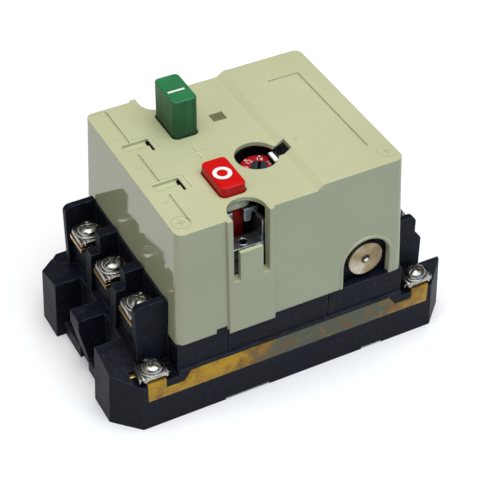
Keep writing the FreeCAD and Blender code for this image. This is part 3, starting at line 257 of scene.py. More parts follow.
def metalSheet(name, dark, light, rough, scratch=0.15, edge=0.2):
    material, tree, shader, place = startMaterial(name)
    cloud = addNode(tree, "ShaderNodeTexNoise",
                    {"Vector": place, "Scale": perMm(metalSet["cloudSize"]), "Detail": 6, "Roughness": 0.65})
    tone = addNode(tree, "ShaderNodeValToRGB", {0: cloud.outputs[0]}, stops=[(0.35, dark), (0.6, light)])
    drawn = addNode(tree, "ShaderNodeMapping", {"Vector": place, "Scale": (metalSet["scratchStretch"], 1, 1)})
    lines = addNode(tree, "ShaderNodeTexNoise",
                    {"Vector": drawn.outputs[0], "Scale": perMm(metalSet["scratchSize"]), "Detail": 3})
    gloss = addNode(tree, "ShaderNodeMapRange",
                    {"Value": cloud.outputs[0], "From Min": 0.35, "From Max": 0.65,
                     "To Min": rough + metalSet["dulled"], "To Max": rough})
    rounded = addNode(tree, "ShaderNodeBevel", {"Radius": mm(edge)}, samples=4)
    # painted highlight: every rounded edge takes a pale tone
    edgeGlint = edgeFactor(tree, rounded.outputs[0])
    color = addNode(tree, "ShaderNodeMix",
                    {0: edgeGlint, colorA: tone.outputs[0], colorB: fromHex(metalSet["glintTone"])},
                    data_type="RGBA")
    bump = addNode(tree, "ShaderNodeBump", {"Height": lines.outputs[0], "Strength": scratch,
                                            "Distance": mm(0.03), "Normal": rounded.outputs[0]})
    setInputs(tree, shader, {"Base Color": color.outputs[colorOut], "Metallic": 1.0,
                             "Roughness": gloss.outputs[0], "Normal": bump.outputs[0]})
    return material


# Yellow passivated steel: amber film at the ends, handled to a dull olive with rust spots in the middle
stripSet = {
    "tints": ((0.12, "#55594a"), (1.0, "#b48c26"), (0.34, "#6f5f3c"), (0.60, "#8d6a26")), "rust": "#7c4c1c",
    "middle": 13, "dullReach": 16, "filmReach": 38, "cloudSize": 7, "spotSize": 4,
}


def passivatedStrip():
    material, tree, shader, place = startMaterial("yellow_passivated_steel")
    along = addNode(tree, "ShaderNodeSeparateXYZ", {0: place}).outputs["X"]
    beside = addNode(tree, "ShaderNodeMath", {0: along, 1: mm(stripSet["middle"])}, operation="SUBTRACT")
    reach = addNode(tree, "ShaderNodeMath", {0: beside.outputs[0]}, operation="ABSOLUTE")
    ends = addNode(tree, "ShaderNodeMapRange",
                   {"Value": reach.outputs[0], "From Min": mm(stripSet["dullReach"]),
                    "From Max": mm(stripSet["filmReach"])})
    cloud = addNode(tree, "ShaderNodeTexNoise",
                    {"Vector": place, "Scale": perMm(stripSet["cloudSize"]), "Detail": 8, "Roughness": 0.7})
    patch = addNode(tree, "ShaderNodeMapRange",
                    {"Value": cloud.outputs[0], "From Min": 0.35, "From Max": 0.68,
                     "To Min": -0.4, "To Max": 0.6})
    film = addNode(tree, "ShaderNodeMath", {0: ends.outputs[0], 1: patch.outputs[0]}, operation="ADD")
    tint = addNode(tree, "ShaderNodeValToRGB", {0: film.outputs[0]}, stops=stripSet["tints"])
    spots = addNode(tree, "ShaderNodeTexNoise",
                    {"Vector": place, "Scale": perMm(stripSet["spotSize"]), "Detail": 6, "Roughness": 0.65})
    rust = addNode(tree, "ShaderNodeMapRange",
                   {"Value": spots.outputs[0], "From Min": 0.50, "From Max": 0.66, "To Max": 0.75})
    color = addNode(tree, "ShaderNodeMix",
                    {0: rust.outputs[0], colorA: tint.outputs[0], colorB: fromHex(stripSet["rust"])},
                    data_type="RGBA")
    bump = addNode(tree, "ShaderNodeBump",
                   {"Height": spots.outputs[0], "Strength": 0.25, "Distance": mm(0.06)})
    setInputs(tree, shader, {"Base Color": color.outputs[colorOut], "Metallic": 0.55, "Roughness": 0.42,
                             "Normal": bump.outputs[0]})
    return material


# Plated disc: faint turned rings, stained brown, painted paler towards one side as a sheen, and with painted
# shade in a dark ring round its rivet
discSet = {
    "centre": (26.4, -33.0, 37.3), "stains": ((0.30, "#7a694a"), (0.72, "#c6bda9"), (0.50, "#998867")),
    "stainSize": 7, "ringSize": 0.35, "seat": 1.8, "seatFade": 0.3, "seatShadeShare": 0.25, "marksAndSheen": 22,
    "edge": 0.3,
}


def turnedDisc():
    material, tree, shader, place = startMaterial("turned_nickel_disc")
    centred = addNode(tree, "ShaderNodeMapping", {"Vector": place, "Location": -mm(*discSet["centre"])})
    # a ring wave repeats every 2 pi / 20 of its unit
    rings = addNode(tree, "ShaderNodeTexWave",
                    {"Vector": centred.outputs[0], "Scale": perMm(discSet["ringSize"]) * math.pi / 10,
                     "Distortion": 0.6, "Detail": 2},
                    wave_type="RINGS", rings_direction="Y")
    stain = addNode(tree, "ShaderNodeTexNoise",
                    {"Vector": centred.outputs[0], "Scale": perMm(discSet["stainSize"]), "Detail": 4,
                     "Roughness": 0.55})
    # painted sheen: the tone grows paler towards -X, added onto the stains
    aside = addNode(tree, "ShaderNodeSeparateXYZ", {0: centred.outputs[0]}).outputs["X"]
    marksAndSheen = addNode(tree, "ShaderNodeMath", {0: aside, 1: -discSet["marksAndSheen"], 2: stain.outputs[0]},
                   operation="MULTIPLY_ADD")
    tone = addNode(tree, "ShaderNodeValToRGB", {0: marksAndSheen.outputs[0]}, stops=discSet["stains"])
    # painted shade: the colour is darkened in a ring round the rivet
    away = addNode(tree, "ShaderNodeVectorMath", {0: centred.outputs[0]}, operation="LENGTH").outputs["Value"]
    rivetShade = addNode(tree, "ShaderNodeMapRange",
                    {"Value": away, "From Min": mm(discSet["seat"] - discSet["seatFade"]),
                     "From Max": mm(discSet["seat"]), "To Min": discSet["seatShadeShare"]})
    color = addNode(tree, "ShaderNodeVectorMath", {0: tone.outputs[0], "Scale": rivetShade.outputs[0]},
                    operation="SCALE")
    gloss = addNode(tree, "ShaderNodeMapRange", {"Value": stain.outputs[0], "From Min": 0.3, "From Max": 0.7,
                                                 "To Min": 0.45, "To Max": 0.26})
    rounded = addNode(tree, "ShaderNodeBevel", {"Radius": mm(discSet["edge"])}, samples=4)
    bump = addNode(tree, "ShaderNodeBump", {"Height": rings.outputs[0], "Strength": 0.3, "Distance": mm(0.02),
                                            "Normal": rounded.outputs[0]})
    setInputs(tree, shader, {"Base Color": color.outputs[0], "Metallic": 0.75, "Roughness": gloss.outputs[0],
                             "Normal": bump.outputs[0]})
    return material


finishes = {
    "black_moulding": phenolicMoulding(),
    "beige_moulding": ureaMoulding(),
    "inner_moulding": glossMoulding("inner_moulding_brown", "#1d1613", "#2a201a", rough=0.45),
    "yellow_passivated_steel": passivatedStrip(),
    "nickel_steel": metalSheet("nickel_plated_steel", "#82807b", "#b0ada7", rough=0.19, scratch=0.05),
    "zinc_steel": metalSheet("zinc_plated_steel", "#5d646a", "#a4abb0", rough=0.28, edge=0.35),
    "spring_steel": metalSheet("spring_steel", "#6f7072", "#a9abad", rough=0.25),
    # the green and red buttons take painted shade towards their feet and down their sides
    "green_plastic": glossMoulding("abs_green", "#1e6c3c", "#277a47", rough=0.45, specular=0.45,
                                   foot=68, shadeTop=85, footShadeShare=0.3, sideStreakShade=0.34),
    "red_plastic": glossMoulding("abs_red", "#c20d0a", "#cd1411", rough=0.3, specular=0.2,
                                 foot=57, shadeTop=70, footShadeShare=0.2, sideStreakShade=0.15),
    "dial_red": glossMoulding("abs_dial_red", "#9c1216", "#ad191c", rough=0.35, specular=0.3),
    "dark_grey_plastic": glossMoulding("abs_dark_grey", "#1f262e", "#2a333d", rough=0.35, specular=0.3),
    "white_plastic": glossMoulding("abs_white", "#e6e6e4", "#f4f4f2", rough=0.3),
    "cream_plastic": glossMoulding("nylon_cream", "#cfc6a8", "#dcd4b8", rough=0.4),
    "fibre": glossMoulding("woven_sleeve", "#8a5a30", "#a06c3c", rough=0.6),
    "brass_strip": metalSheet("brass_strip", "#7a5a28", "#c29a50", rough=0.25),
    "copper": metalSheet("copper_strip", "#8a4a2c", "#c47a4e", rough=0.28),
    "nickel_disc": turnedDisc(),
}
# Black phenolic of the dial's cup, darkened to painted shade that takes in nearly all light, so that the cup
# looks deep; the hub's slot and the marker slots get the same painted shade
shadeBlack = glossMoulding("phenolic_painted_shade_black", "#030304", "#060709", rough=0.5, specular=0.03)
for row in frame["record"]["subparts"]:
    node = nodes[row["node"]]
    node.data.materials.clear()
    node.data.materials.append(shadeBlack if row["node"] == "dial_holder" else finishes[row["material_slot"]])
slotOf = {row["node"]: row["material_slot"] for row in frame["record"]["subparts"]}
bodyOf = {n: body for body, members in frame["record"]["behaviour"]["bodies"].items() for n in members}
print("finishes made:", len(finishes))


def addObject(name, data):
    made = bpy.data.objects.new(name, data)
    bpy.context.scene.collection.objects.link(made)
    return made


def pieceFrom(bm, name, body, slotName, replaced=(), finish=None):
    # faces that meet at less than 35 degrees are shaded as one
    mesh = bpy.data.meshes.new(name)
    bm.to_mesh(mesh)
    bm.free()
    mesh.shade_smooth()
    mesh.set_sharp_from_angle(angle=math.radians(35))
    piece = addObject(name, mesh)
    mesh.materials.append(finish or finishes[slotName])
    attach(piece, body)
    if replaced:
        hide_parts(*replaced)
    return piece


def addCopy(target, source, matrix):
    # one more copy of a shape in the bmesh of a group
    mesh = bpy.data.meshes.new("copy")
    source.to_mesh(mesh)
    mesh.transform(matrix)
    target.from_mesh(mesh)
    bpy.data.meshes.remove(mesh)


def lathe(profile, steps):
    # profile points are (radius, height) in mm, turned once round Z
    bm = bmesh.new()
    verts = [bm.verts.new(mm(radius, 0, height)) for radius, height in profile]
    edges = [bm.edges.new(pair) for pair in zip(verts, verts[1:])]
    bmesh.ops.spin(bm, geom=verts + edges, cent=(0, 0, 0), axis=(0, 0, 1), angle=2 * math.pi, steps=steps,
                   use_merge=True)
    bmesh.ops.remove_doubles(bm, verts=bm.verts, dist=mm(weldGap))
    bmesh.ops.recalc_face_normals(bm, faces=bm.faces)
    return bm


def vertsOf(geom):
    return [item for item in geom if isinstance(item, bmesh.types.BMVert)]


def roundEdges(bm, edges, width, segments=2):
    bmesh.ops.bevel(bm, geom=edges, offset=mm(width), offset_type="OFFSET", segments=segments, profile=0.5,
                    affect="EDGES", material=-1, clamp_overlap=True)


def sharpEdges(bm, degrees):
    return [e for e in bm.edges if e.is_manifold and e.calc_face_angle() > math.radians(degrees)]


def roundedBlock(bm, size, centre, edge, segments=2):
    made = bmesh.ops.create_cube(bm, size=1)["verts"]
    bmesh.ops.scale(bm, vec=mm(*size), verts=made)
    bmesh.ops.translate(bm, vec=mm(*centre), verts=made)
    roundEdges(bm, list({e for v in made for e in v.link_edges}), edge, segments)


# Pan-head screws with a captive washer; the recess is a slot crossed by a short second slot
screwSet = {
    "profile": [(0, 2.8), (1.2, 2.76), (2.2, 2.56), (2.9, 2.2), (3.3, 1.75), (3.45, 1.2), (3.42, 0.82),
                (3.3, 0.72), (3.93, 0.70), (4.03, 0.55), (4.03, 0.15), (3.93, 0.02), (2.0, 0.02)],
    "shank": 2.0, "steps": 40, "recess": ((3.0, 0.42), (0.50, 1.7)), "depth": 1.15, "lowest": 1.5,
    # each place is x, y and the recess's turn in degrees
    "groups": {
        "line_screws": {"seat": 36.9, "length": 12.0,
                        "places": ((-45, -19, 48), (-45, 0, 20), (-45, 19, -12))},
        "load_screws": {"seat": 36.9, "length": 12.0,
                        "places": ((45, -19, 75), (45, 0, 10), (45, 19, 40))},
        "earth_screws": {"seat": 21.2, "length": 15.2,
                         "places": ((-46.8, -31.4, 118), (46.8, -31.4, 28))},
    },
}


def cutRecess(bm):
    # the head's faces are cut along the recess's outline, and those inside it are pushed down
    for axis, normal in enumerate((Vector((1, 0, 0)), Vector((0, 1, 0)))):
        for reach in screwSet["recess"]:
            for side in (-1, 1):
                top = [f for f in bm.faces if f.calc_center_median().z > mm(screwSet["lowest"])]
                geom = list({v for f in top for v in f.verts}) + list({e for f in top for e in f.edges}) + top
                bmesh.ops.bisect_plane(bm, geom=geom, dist=mm(planeGap),
                                       plane_co=normal * side * mm(reach[axis]), plane_no=normal)
    sunk = []
    for face in bm.faces:
        middle = face.calc_center_median()
        inside = any(abs(middle.x) < mm(a) and abs(middle.y) < mm(b) for a, b in screwSet["recess"])
        if inside and middle.z > mm(screwSet["lowest"]):
            sunk.append(face)
    made = bmesh.ops.extrude_face_region(bm, geom=sunk)["geom"]
    bmesh.ops.delete(bm, geom=[f for f in sunk if f.is_valid], context="FACES_ONLY")
    floor = vertsOf(made)
    height = max(v.co.z for v in floor) - mm(screwSet["depth"])
    for vert in floor:
        vert.co.z = height


for nodeName, group in screwSet["groups"].items():
    shape = lathe(screwSet["profile"] + [(screwSet["shank"], -group["length"]), (0, -group["length"])],
                  screwSet["steps"])
    cutRecess(shape)
    screws = bmesh.new()
    for x, y, turned in group["places"]:
        place = Matrix.Translation(mm(x, y, group["seat"])) @ Matrix.Rotation(math.radians(turned), 4, "Z")
        addCopy(screws, shape, place)
    shape.free()
    pieceFrom(screws, "cut_" + nodeName, bodyOf[nodeName], slotOf[nodeName], [nodeName])
print("screws cut")

# Saddle clamps: pressed plates, rolled down at both ends and grooved either side of the screw
clampSet = {
    "gauge": 1.15, "edge": 0.18, "sharp": 50, "corner": 1.1,
    "roll": [(0.0, 0.1), (0.0, 1.25), (0.18, 1.8), (0.55, 2.2), (1.1, 2.4), (1.45, 2.4), (1.75, 2.12),
             (2.05, 2.4)],
    "groups": {
        "line_clamps": {"long": 8.6, "deep": 9.6, "seat": 34.5,
                        "places": ((-45, -19), (-45, 0), (-45, 19))},
        "load_clamps": {"long": 8.6, "deep": 9.6, "seat": 34.5,
                        "places": ((45, -19), (45, 0), (45, 19))},
        "earth_clamps": {"long": 10.4, "deep": 6.8, "seat": 18.8,
                         "places": ((-46.8, -31.4), (46.8, -31.4))},
    },
}


def saddle(long, deep):
    bm = bmesh.new()
    left = [(-long / 2 + x, z) for x, z in clampSet["roll"]]
    outline = left + [(-x, z) for x, z in reversed(left)]
    verts = [bm.verts.new(mm(x, -deep / 2, z)) for x, z in outline]
    edges = [bm.edges.new(pair) for pair in zip(verts, verts[1:])]
    made = bmesh.ops.extrude_edge_only(bm, edges=edges)["geom"]
    bmesh.ops.translate(bm, vec=mm(0, deep, 0), verts=vertsOf(made))
    bmesh.ops.recalc_face_normals(bm, faces=bm.faces)
    if sum(f.normal.z for f in bm.faces) < 0:
        bmesh.ops.reverse_faces(bm, faces=bm.faces)
    # the lips are cut slanting at their four corners
    for sideX in (-1, 1):
        for sideY in (-1, 1):
            slant = Vector((sideX, sideY, 0)).normalized()
            point = mm(sideX * long / 2, sideY * (deep / 2 - clampSet["corner"]), 0)
            bmesh.ops.bisect_plane(bm, geom=bm.verts[:] + bm.edges[:] + bm.faces[:], dist=mm(planeGap),
                                   plane_co=point, plane_no=slant, clear_outer=True)
    bmesh.ops.solidify(bm, geom=bm.faces[:], thickness=mm(clampSet["gauge"]))
    bmesh.ops.recalc_face_normals(bm, faces=bm.faces)
    roundEdges(bm, sharpEdges(bm, clampSet["sharp"]), clampSet["edge"])
    return bm


for nodeName, group in clampSet["groups"].items():
    shape = saddle(group["long"], group["deep"])
    clamps = bmesh.new()
    for x, y in group["places"]:
        addCopy(clamps, shape, Matrix.Translation(mm(x, y, group["seat"])))
    shape.free()
    pieceFrom(clamps, "pressed_" + nodeName, bodyOf[nodeName], slotOf[nodeName], [nodeName])
print("clamps pressed")

# White marks on the buttons: a bar for on and a ring for off, each as thin as print
markSet = {
    "bar": {"size": (5.7, 0.95, 0.10), "centre": (-14.9, 14.7, 84.455), "edge": 0.04},
    "ring": {"centre": (-14.9, -16.1, 74.15), "steps": 64,
             "profile": [(1.65, 0.0), (1.65, 0.08), (2.95, 0.08), (2.95, 0.0), (1.65, 0.0)]},
}
bar = bmesh.new()
roundedBlock(bar, **markSet["bar"])
pieceFrom(bar, "on_mark", "on_button", "white_plastic")
ring = lathe(markSet["ring"]["profile"], markSet["ring"]["steps"])
bmesh.ops.translate(ring, vec=mm(*markSet["ring"]["centre"]), verts=ring.verts)
pieceFrom(ring, "off_mark", "off_button", "white_plastic")
print("button marks set")

# Setting dial: white numbers and dots round the slotted hub, and painted shade in the hub's slot
dialSet = {
    "centre": (1.0, -9.5), "face": 66.2, "numberSize": 2.3, "numberRadius": 4.0, "thick": 0.03,
    "numbers": ("16", "14", "12", "10", "8", "6"), "first": 10, "step": 52,
    "dotRadius": 5.45, "dotSteps": 20, "dot": [(0, 0.03), (0.36, 0.03), (0.36, -0.03), (0, -0.03)],
    "slot": {"size": (5.0, 0.86, 0.08), "turn": 58, "height": 66.43, "edge": 0.02},
}


def textShape(text, size, thick):
    # the text as a mesh, with its middle at the origin
    curve = bpy.data.curves.new("number", "FONT")
    curve.body = text
    curve.size = mm(size)
    curve.align_x = "CENTER"
    curve.align_y = "CENTER"
    curve.extrude = mm(thick)
    curve.resolution_u = 3
    holder = addObject("number", curve)
    bpy.context.view_layer.update()
    mesh = bpy.data.meshes.new_from_object(holder.evaluated_get(bpy.context.evaluated_depsgraph_get()))
    bpy.data.objects.remove(holder)
    return mesh


scale = bmesh.new()
for index, text in enumerate(dialSet["numbers"]):
    angle = math.radians(dialSet["first"] + index * dialSet["step"])
    outward = Matrix.Rotation(angle, 4, "Z")
    middle = Matrix.Translation(mm(*dialSet["centre"], dialSet["face"]))
    number = textShape(text, dialSet["numberSize"], dialSet["thick"])
    number.transform(middle @ outward @ Matrix.Translation(mm(dialSet["numberRadius"], 0, 0))
                     @ Matrix.Rotation(-math.pi / 2, 4, "Z"))
    scale.from_mesh(number)
    bpy.data.meshes.remove(number)
    dot = lathe(dialSet["dot"], dialSet["dotSteps"])
    addCopy(scale, dot, middle @ outward @ Matrix.Translation(mm(dialSet["dotRadius"], 0, 0)))
    dot.free()
pieceFrom(scale, "dial_numbers", "setting_dial", "white_plastic")
# painted shade: a near-black bar in the hub's slot
slotShadeFloor = dialSet["slot"]
slot = bmesh.new()
roundedBlock(slot, slotShadeFloor["size"], (0, 0, 0), slotShadeFloor["edge"], 1)
slotTurn = Matrix.Rotation(math.radians(slotShadeFloor["turn"]), 3, "Z")
bmesh.ops.rotate(slot, matrix=slotTurn, verts=slot.verts)
bmesh.ops.translate(slot, vec=mm(*dialSet["centre"], slotShadeFloor["height"]), verts=slot.verts)
pieceFrom(slot, "dial_slot_shade", "setting_dial", "dark_grey_plastic", finish=shadeBlack)

# Ribbed cap on the holder's block, beside the pointer
capSet = {"size": (3.4, 4.6, 1.2), "centre": (8.2, -10.2, 69.5), "edge": 0.1, "foot": 6.5, "slope": 0.45,
          "rib": (0.5, 1.3, 0.5), "ribEdge": 0.2, "ribs": (7.1, 8.2, 9.3), "ribTop": 70.1}
cap = bmesh.new()
roundedBlock(cap, capSet["size"], capSet["centre"], capSet["edge"])
for x in capSet["ribs"]:
    roundedBlock(cap, capSet["rib"], (x, capSet["centre"][1], capSet["ribTop"]), capSet["ribEdge"])
# it rises with the step in the cover
for vert in cap.verts:
    vert.co.z += (vert.co.x - mm(capSet["foot"])) * capSet["slope"]
# Phenolic of the ribbed cap: black with a soft shine along the ribs
pieceFrom(cap, "ribbed_cap", bodyOf["dial_holder"], slotOf["dial_holder"],
          finish=glossMoulding("phenolic_rib_black", "#050506", "#090a0c", rough=0.2, specular=0.25))
print("dial numbered")

# Thin lines and small signs on the cover's top, scribed in the mould and drawn in painted shade, each line
# with a painted highlight on one lip
scribeSet = {
    "top": 71.0, "width": 0.27, "highlightShare": 0.7, "rise": 0.02, "stagger": 0.002,
    "lines": (
        ((-31.6, 14.4), (-24.4, 13.9)), ((-24.4, 13.9), (-24.0, 7.9)),
        ((-31.3, -7.15), (-24.1, -7.55)), ((-24.1, -7.55), (-24.0, -13.9)),
        ((-37.4, 31.9), (-31.6, 31.7)),
        ((-15.3, 3.5), (-15.3, -3.1)), ((-18.6, 0.6), (-11.5, -0.2)),
    ),
    "signs": ((-34.0, -27.5, 71.0), (34.9, -27.4, 72.7)), "signRadius": 2.75, "signSteps": 48,
    "bars": ((1.6, 0.35), (1.0, -0.35), (0.4, -1.05)), "stem": (0.35, 1.7),
    "letters": (("1", -34.6, 17.3, 71.0), ("3", -34.1, 0.9, 71.0), ("5", -34.0, -17.4, 71.0),
                ("A", 13.3, -9.4, 72.7)),
    "letterSize": 2.4,
}


def scribe(bm, start, end, height, width):
    # a thin bar from start to end, half sunk at this height
    run = Vector(end) - Vector(start)
    made = bmesh.ops.create_cube(bm, size=1)["verts"]
    bmesh.ops.scale(bm, vec=mm(run.length + width, width, 2 * scribeSet["rise"]), verts=made)
    bmesh.ops.rotate(bm, matrix=Matrix.Rotation(math.atan2(run.y, run.x), 3, "Z"), verts=made)
    middle = (Vector(start) + Vector(end)) / 2
    bmesh.ops.translate(bm, vec=mm(middle.x, middle.y, height), verts=made)


# Scribed urea: the cover's moulding, duller, in the tone of a groove's painted shade, of its lit lip as a
# painted highlight, or of a recess's floor in painted shade
def scribedLine(name, dark, light):
    material, tree, shader, place = startMaterial(name)
    cloud = addNode(tree, "ShaderNodeTexNoise", {"Vector": place, "Scale": perMm(1.5), "Detail": 4})
    tone = addNode(tree, "ShaderNodeValToRGB", {0: cloud.outputs[0]}, stops=[(0.35, dark), (0.65, light)])
    setInputs(tree, shader, {"Base Color": tone.outputs[0], "Roughness": 0.45, "IOR": 1.52})
    return material


# painted shade along each line, and a painted highlight beside it
lineShade = scribedLine("urea_scribed_shade", "#8e8f6c", "#a3a47f")
lineHighlight = scribedLine("urea_scribed_highlight", "#cfd0ab", "#d8d9b6")
lineWidth, lineRise, stagger = scribeSet["width"], scribeSet["rise"], scribeSet["stagger"]
beside = Vector((lineWidth, -lineWidth))
lines = bmesh.new()
lineHighlights = bmesh.new()
for index, (start, end) in enumerate(scribeSet["lines"]):
    # each line lies a hair higher than the last, so that crossing lines don't share a face
    height = scribeSet["top"] + index * stagger
    scribe(lines, start, end, height, lineWidth)
    scribe(lineHighlights, Vector(start) + beside, Vector(end) + beside, height - stagger / 2,
           lineWidth * scribeSet["highlightShare"])
pieceFrom(lines, "scribed_lines", "housing", "beige_moulding", finish=lineShade)
pieceFrom(lineHighlights, "scribed_line_highlights", "housing", "beige_moulding", finish=lineHighlight)

signs = bmesh.new()
inner, outer = scribeSet["signRadius"], scribeSet["signRadius"] + lineWidth
low, high = scribeSet["stem"]
for x, y, height in scribeSet["signs"]:
    rim = lathe([(inner, 0), (inner, lineRise), (outer, lineRise), (outer, 0), (inner, 0)],
                scribeSet["signSteps"])
    addCopy(signs, rim, Matrix.Translation(mm(x, y, height)))
    rim.free()
    for reach, drop in scribeSet["bars"]:
        scribe(signs, (x - drop, y - reach), (x - drop, y + reach), height, lineWidth)
    scribe(signs, (x - low, y), (x - high, y), height, lineWidth)
for text, x, y, height in scribeSet["letters"]:
    letter = textShape(text, scribeSet["letterSize"], lineRise)
    letter.transform(Matrix.Translation(mm(x, y, height)) @ Matrix.Rotation(-math.pi / 2, 4, "Z"))
    signs.from_mesh(letter)
    bpy.data.meshes.remove(letter)
# the signs are drawn in a painted shade tone
pieceFrom(signs, "scribed_signs", "housing", "beige_moulding",
          finish=scribedLine("urea_scribed_sign_shade", "#9fa07b", "#a8a984"))
print("cover scribed")

# Painted shade: an olive plate on the floor of the square recess, and black backs that darken the insides of
# the two marker slots
recessShadeSet = {
    "plate": {"size": (4.3, 3.9, 0.3), "centre": (-1.45, 13.7, 70.42), "edge": 0.08},
    "slotShades": {"size": (0.86, 5.6, 0.9), "edge": 0.08,
              "centres": ((-26.26, 9.95, 70.1), (-26.26, -11.65, 70.1))},
}
plate = bmesh.new()
roundedBlock(plate, **recessShadeSet["plate"])
pieceFrom(plate, "inset_plate", "housing", "beige_moulding",
          finish=scribedLine("urea_plate_olive", "#5f5c3f", "#716e4d"))
slotShades = bmesh.new()
for centre in recessShadeSet["slotShades"]["centres"]:
    roundedBlock(slotShades, recessShadeSet["slotShades"]["size"], centre, recessShadeSet["slotShades"]["edge"])
pieceFrom(slotShades, "marker_slot_shades", "housing", "black_moulding", finish=shadeBlack)
print("recess_shades placed")

# Domed rivet in the middle of the trip disc
rivetSet = {"steps": 40, "profile": [(0, 0.70), (0.4, 0.68), (0.75, 0.55), (0.98, 0.32), (1.08, 0.05),
                                     (1.08, -0.1), (0, -0.1)]}
rivet = lathe(rivetSet["profile"], rivetSet["steps"])
bmesh.ops.rotate(rivet, matrix=Matrix.Rotation(math.pi / 2, 3, "X"), verts=rivet.verts)
bmesh.ops.translate(rivet, vec=mm(*discSet["centre"]), verts=rivet.verts)
# Polished rivet steel: a pale spot that catches the lamps
pieceFrom(rivet, "disc_rivet", bodyOf["trip_disc"], "nickel_steel",
          finish=metalSheet("polished_rivet", "#d9d6cf", "#efece6", rough=0.3, scratch=0.05))

# Raised rims of the two tapped ears
rimSet = {"centres": ((-14.5, -28.65, 57.0), (-14.5, 28.65, 57.0)), "steps": 36,
          "profile": [(1.3, 0.0), (1.34, 0.14), (1.5, 0.22), (1.75, 0.16), (1.95, 0.0), (1.3, 0.0)]}
rims = bmesh.new()
rim = lathe(rimSet["profile"], rimSet["steps"])
for centre in rimSet["centres"]:
    addCopy(rims, rim, Matrix.Translation(mm(*centre)))
rim.free()
pieceFrom(rims, "ear_rims", "housing", "zinc_steel")

# Moulded bead round the arch in the front wall: up one leg, over and down, leaning as the wall does
beadSet = {
    "centre": (26.0, 37.6), "radius": 8.9, "foot": 29.7, "thick": 0.75, "sunk": 0.35, "sides": 14,
    "steps": 28, "wallTop": 71.0, "wallReach": 33.0, "wallLean": 0.0361,
}
bead = bmesh.new()
bmesh.ops.create_circle(bead, segments=beadSet["sides"], radius=mm(beadSet["thick"]))
centreX, centreZ = beadSet["centre"]
bmesh.ops.translate(bead, vec=mm(centreX - beadSet["radius"], 0, beadSet["foot"]), verts=bead.verts)
leg = mm(0, 0, centreZ - beadSet["foot"])
raised = bmesh.ops.extrude_edge_only(bead, edges=bead.edges[:])["geom"]
bmesh.ops.translate(bead, vec=leg, verts=vertsOf(raised))
crown = [item for item in raised if not isinstance(item, bmesh.types.BMFace)]
turned = bmesh.ops.spin(bead, geom=crown, cent=mm(centreX, 0, centreZ), axis=(0, 1, 0), angle=math.pi,
                        steps=beadSet["steps"])["geom_last"]
rightEnd = [item for item in turned if isinstance(item, bmesh.types.BMEdge)]
lowered = bmesh.ops.extrude_edge_only(bead, edges=rightEnd)["geom"]
bmesh.ops.translate(bead, vec=-leg, verts=vertsOf(lowered))
bmesh.ops.remove_doubles(bead, verts=bead.verts, dist=mm(weldGap))
bmesh.ops.holes_fill(bead, edges=bead.edges)
for vert in bead.verts:
    drop = mm(beadSet["wallTop"]) - vert.co.z
    vert.co.y -= mm(beadSet["wallReach"] - beadSet["sunk"]) + beadSet["wallLean"] * drop
bmesh.ops.recalc_face_normals(bead, faces=bead.faces)
pieceFrom(bead, "arch_bead", "housing", "beige_moulding")
print("arch beaded")

# Conductor end beside the earth clamp
tailSet = {"size": (4.4, 1.9, 1.0), "centre": (-51.3, -28.9, 18.15), "edge": 0.3}
tail = bmesh.new()
roundedBlock(tail, **tailSet)
pieceFrom(tail, "earth_tail", "housing", "brass_strip")
print("small metal parts placed")

# Pressed strip and moulded pointer get a small round on every sharp edge
softSet = {"widths": {"earth_strip": 0.15, "pointer": 0.12}, "weld": 0.002, "flat": 1.0, "sharp": 28}
for nodeName, width in softSet["widths"].items():
    soft = bmesh.new()
    soft.from_mesh(nodes[nodeName].data)
    bmesh.ops.remove_doubles(soft, verts=soft.verts, dist=mm(softSet["weld"]))
    bmesh.ops.dissolve_limit(soft, angle_limit=math.radians(softSet["flat"]), verts=soft.verts,
                             edges=soft.edges)
    roundEdges(soft, sharpEdges(soft, softSet["sharp"]), width)
    pieceFrom(soft, "soft_" + nodeName, bodyOf[nodeName], slotOf[nodeName], [nodeName])
print("edges softened:", len(softSet["widths"]))

# The ON button's return spring, copied into a piece of its own with a mesh of its own
coils = bmesh.new()
coils.from_mesh(nodes["on_spring"].data)
coil = pieceFrom(coils, "coiled_on_spring", bodyOf["on_spring"], slotOf["on_spring"], ["on_spring"])
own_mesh(coil)
print("spring coiled")

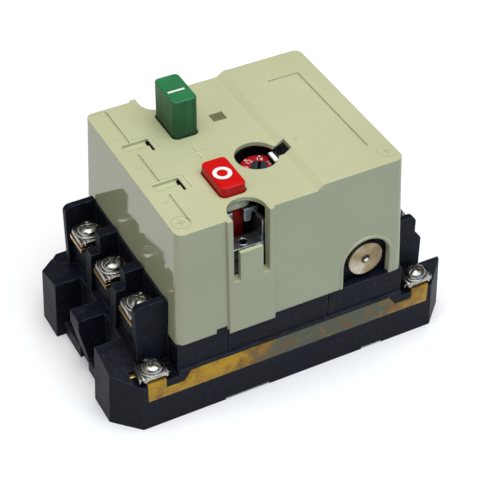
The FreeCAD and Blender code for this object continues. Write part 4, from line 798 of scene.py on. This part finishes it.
# Floor, light and camera
stageSet = {"floor": "#ffffff", "bounce": "#8a8a8a", "floorReach": 3000, "worldStrength": 0.08,
            "aim": (0, 0, 40)}
lampSet = {
    "overhead": {"place": (60, -220, 1300), "power": 24.6, "size": 1500, "color": "#ffffff"},
    "front": {"place": (200, -950, 420), "power": 1.95, "size": 620, "color": "#90c8ff"},
    "left": {"place": (-950, -60, 700), "power": 1.6, "size": 700, "color": "#eefaff"},
}
grid = bmesh.new()
bmesh.ops.create_grid(grid, x_segments=1, y_segments=1, size=mm(stageSet["floorReach"]))
floorMesh = bpy.data.meshes.new("floor")
grid.to_mesh(floorMesh)
grid.free()
floor = addObject("floor", floorMesh)
# Paper sweep: shows white, and gives the object back less light than a white floor would
floorPaper, tree, shader = startMaterial("floor_paper")[:3]
bounced = addNode(tree, "ShaderNodeLightPath").outputs["Is Diffuse Ray"]
paper = addNode(tree, "ShaderNodeMix",
                {0: bounced, colorA: fromHex(stageSet["floor"]), colorB: fromHex(stageSet["bounce"])},
                data_type="RGBA")
setInputs(tree, shader, {"Base Color": paper.outputs[colorOut], "Roughness": 0.9})
floorMesh.materials.append(floorPaper)

world = bpy.data.worlds.new("studio")
world.use_nodes = True
setInputs(world.node_tree, world.node_tree.nodes["Background"],
          {"Color": (1, 1, 1, 1), "Strength": stageSet["worldStrength"]})
bpy.context.scene.world = world
for name, settings in lampSet.items():
    lamp = bpy.data.lights.new(name, "AREA")
    lamp.energy = settings["power"]
    lamp.size = mm(settings["size"])
    lamp.color = fromHex(settings["color"])[:3]
    lampObject = addObject(name, lamp)
    lampObject.location = mm(*settings["place"])
    aimed = mm(*stageSet["aim"]) - lampObject.location
    lampObject.rotation_euler = aimed.to_track_quat("-Z", "Y").to_euler()

cameraSet = {"place": (-177.64, -339.05, 356.93), "lens": 116.945, "sensor": 36,
             "right": (0.887403, -0.460987, 0.002641), "up": (0.297488, 0.577024, 0.760621),
             "back": (-0.352161, -0.674192, 0.649191)}
cameraData = bpy.data.cameras.new("photo_camera")
cameraData.lens = cameraSet["lens"]
cameraData.sensor_width = cameraSet["sensor"]
camera = addObject("photo_camera", cameraData)
turn = Matrix((cameraSet["right"], cameraSet["up"], cameraSet["back"])).transposed()
camera.matrix_world = Matrix.Translation(mm(*cameraSet["place"])) @ turn.to_4x4()
bpy.context.scene.camera = camera
bpy.context.scene.view_settings.view_transform = "Standard"
print("stage set")

bpy.context.view_layer.update()
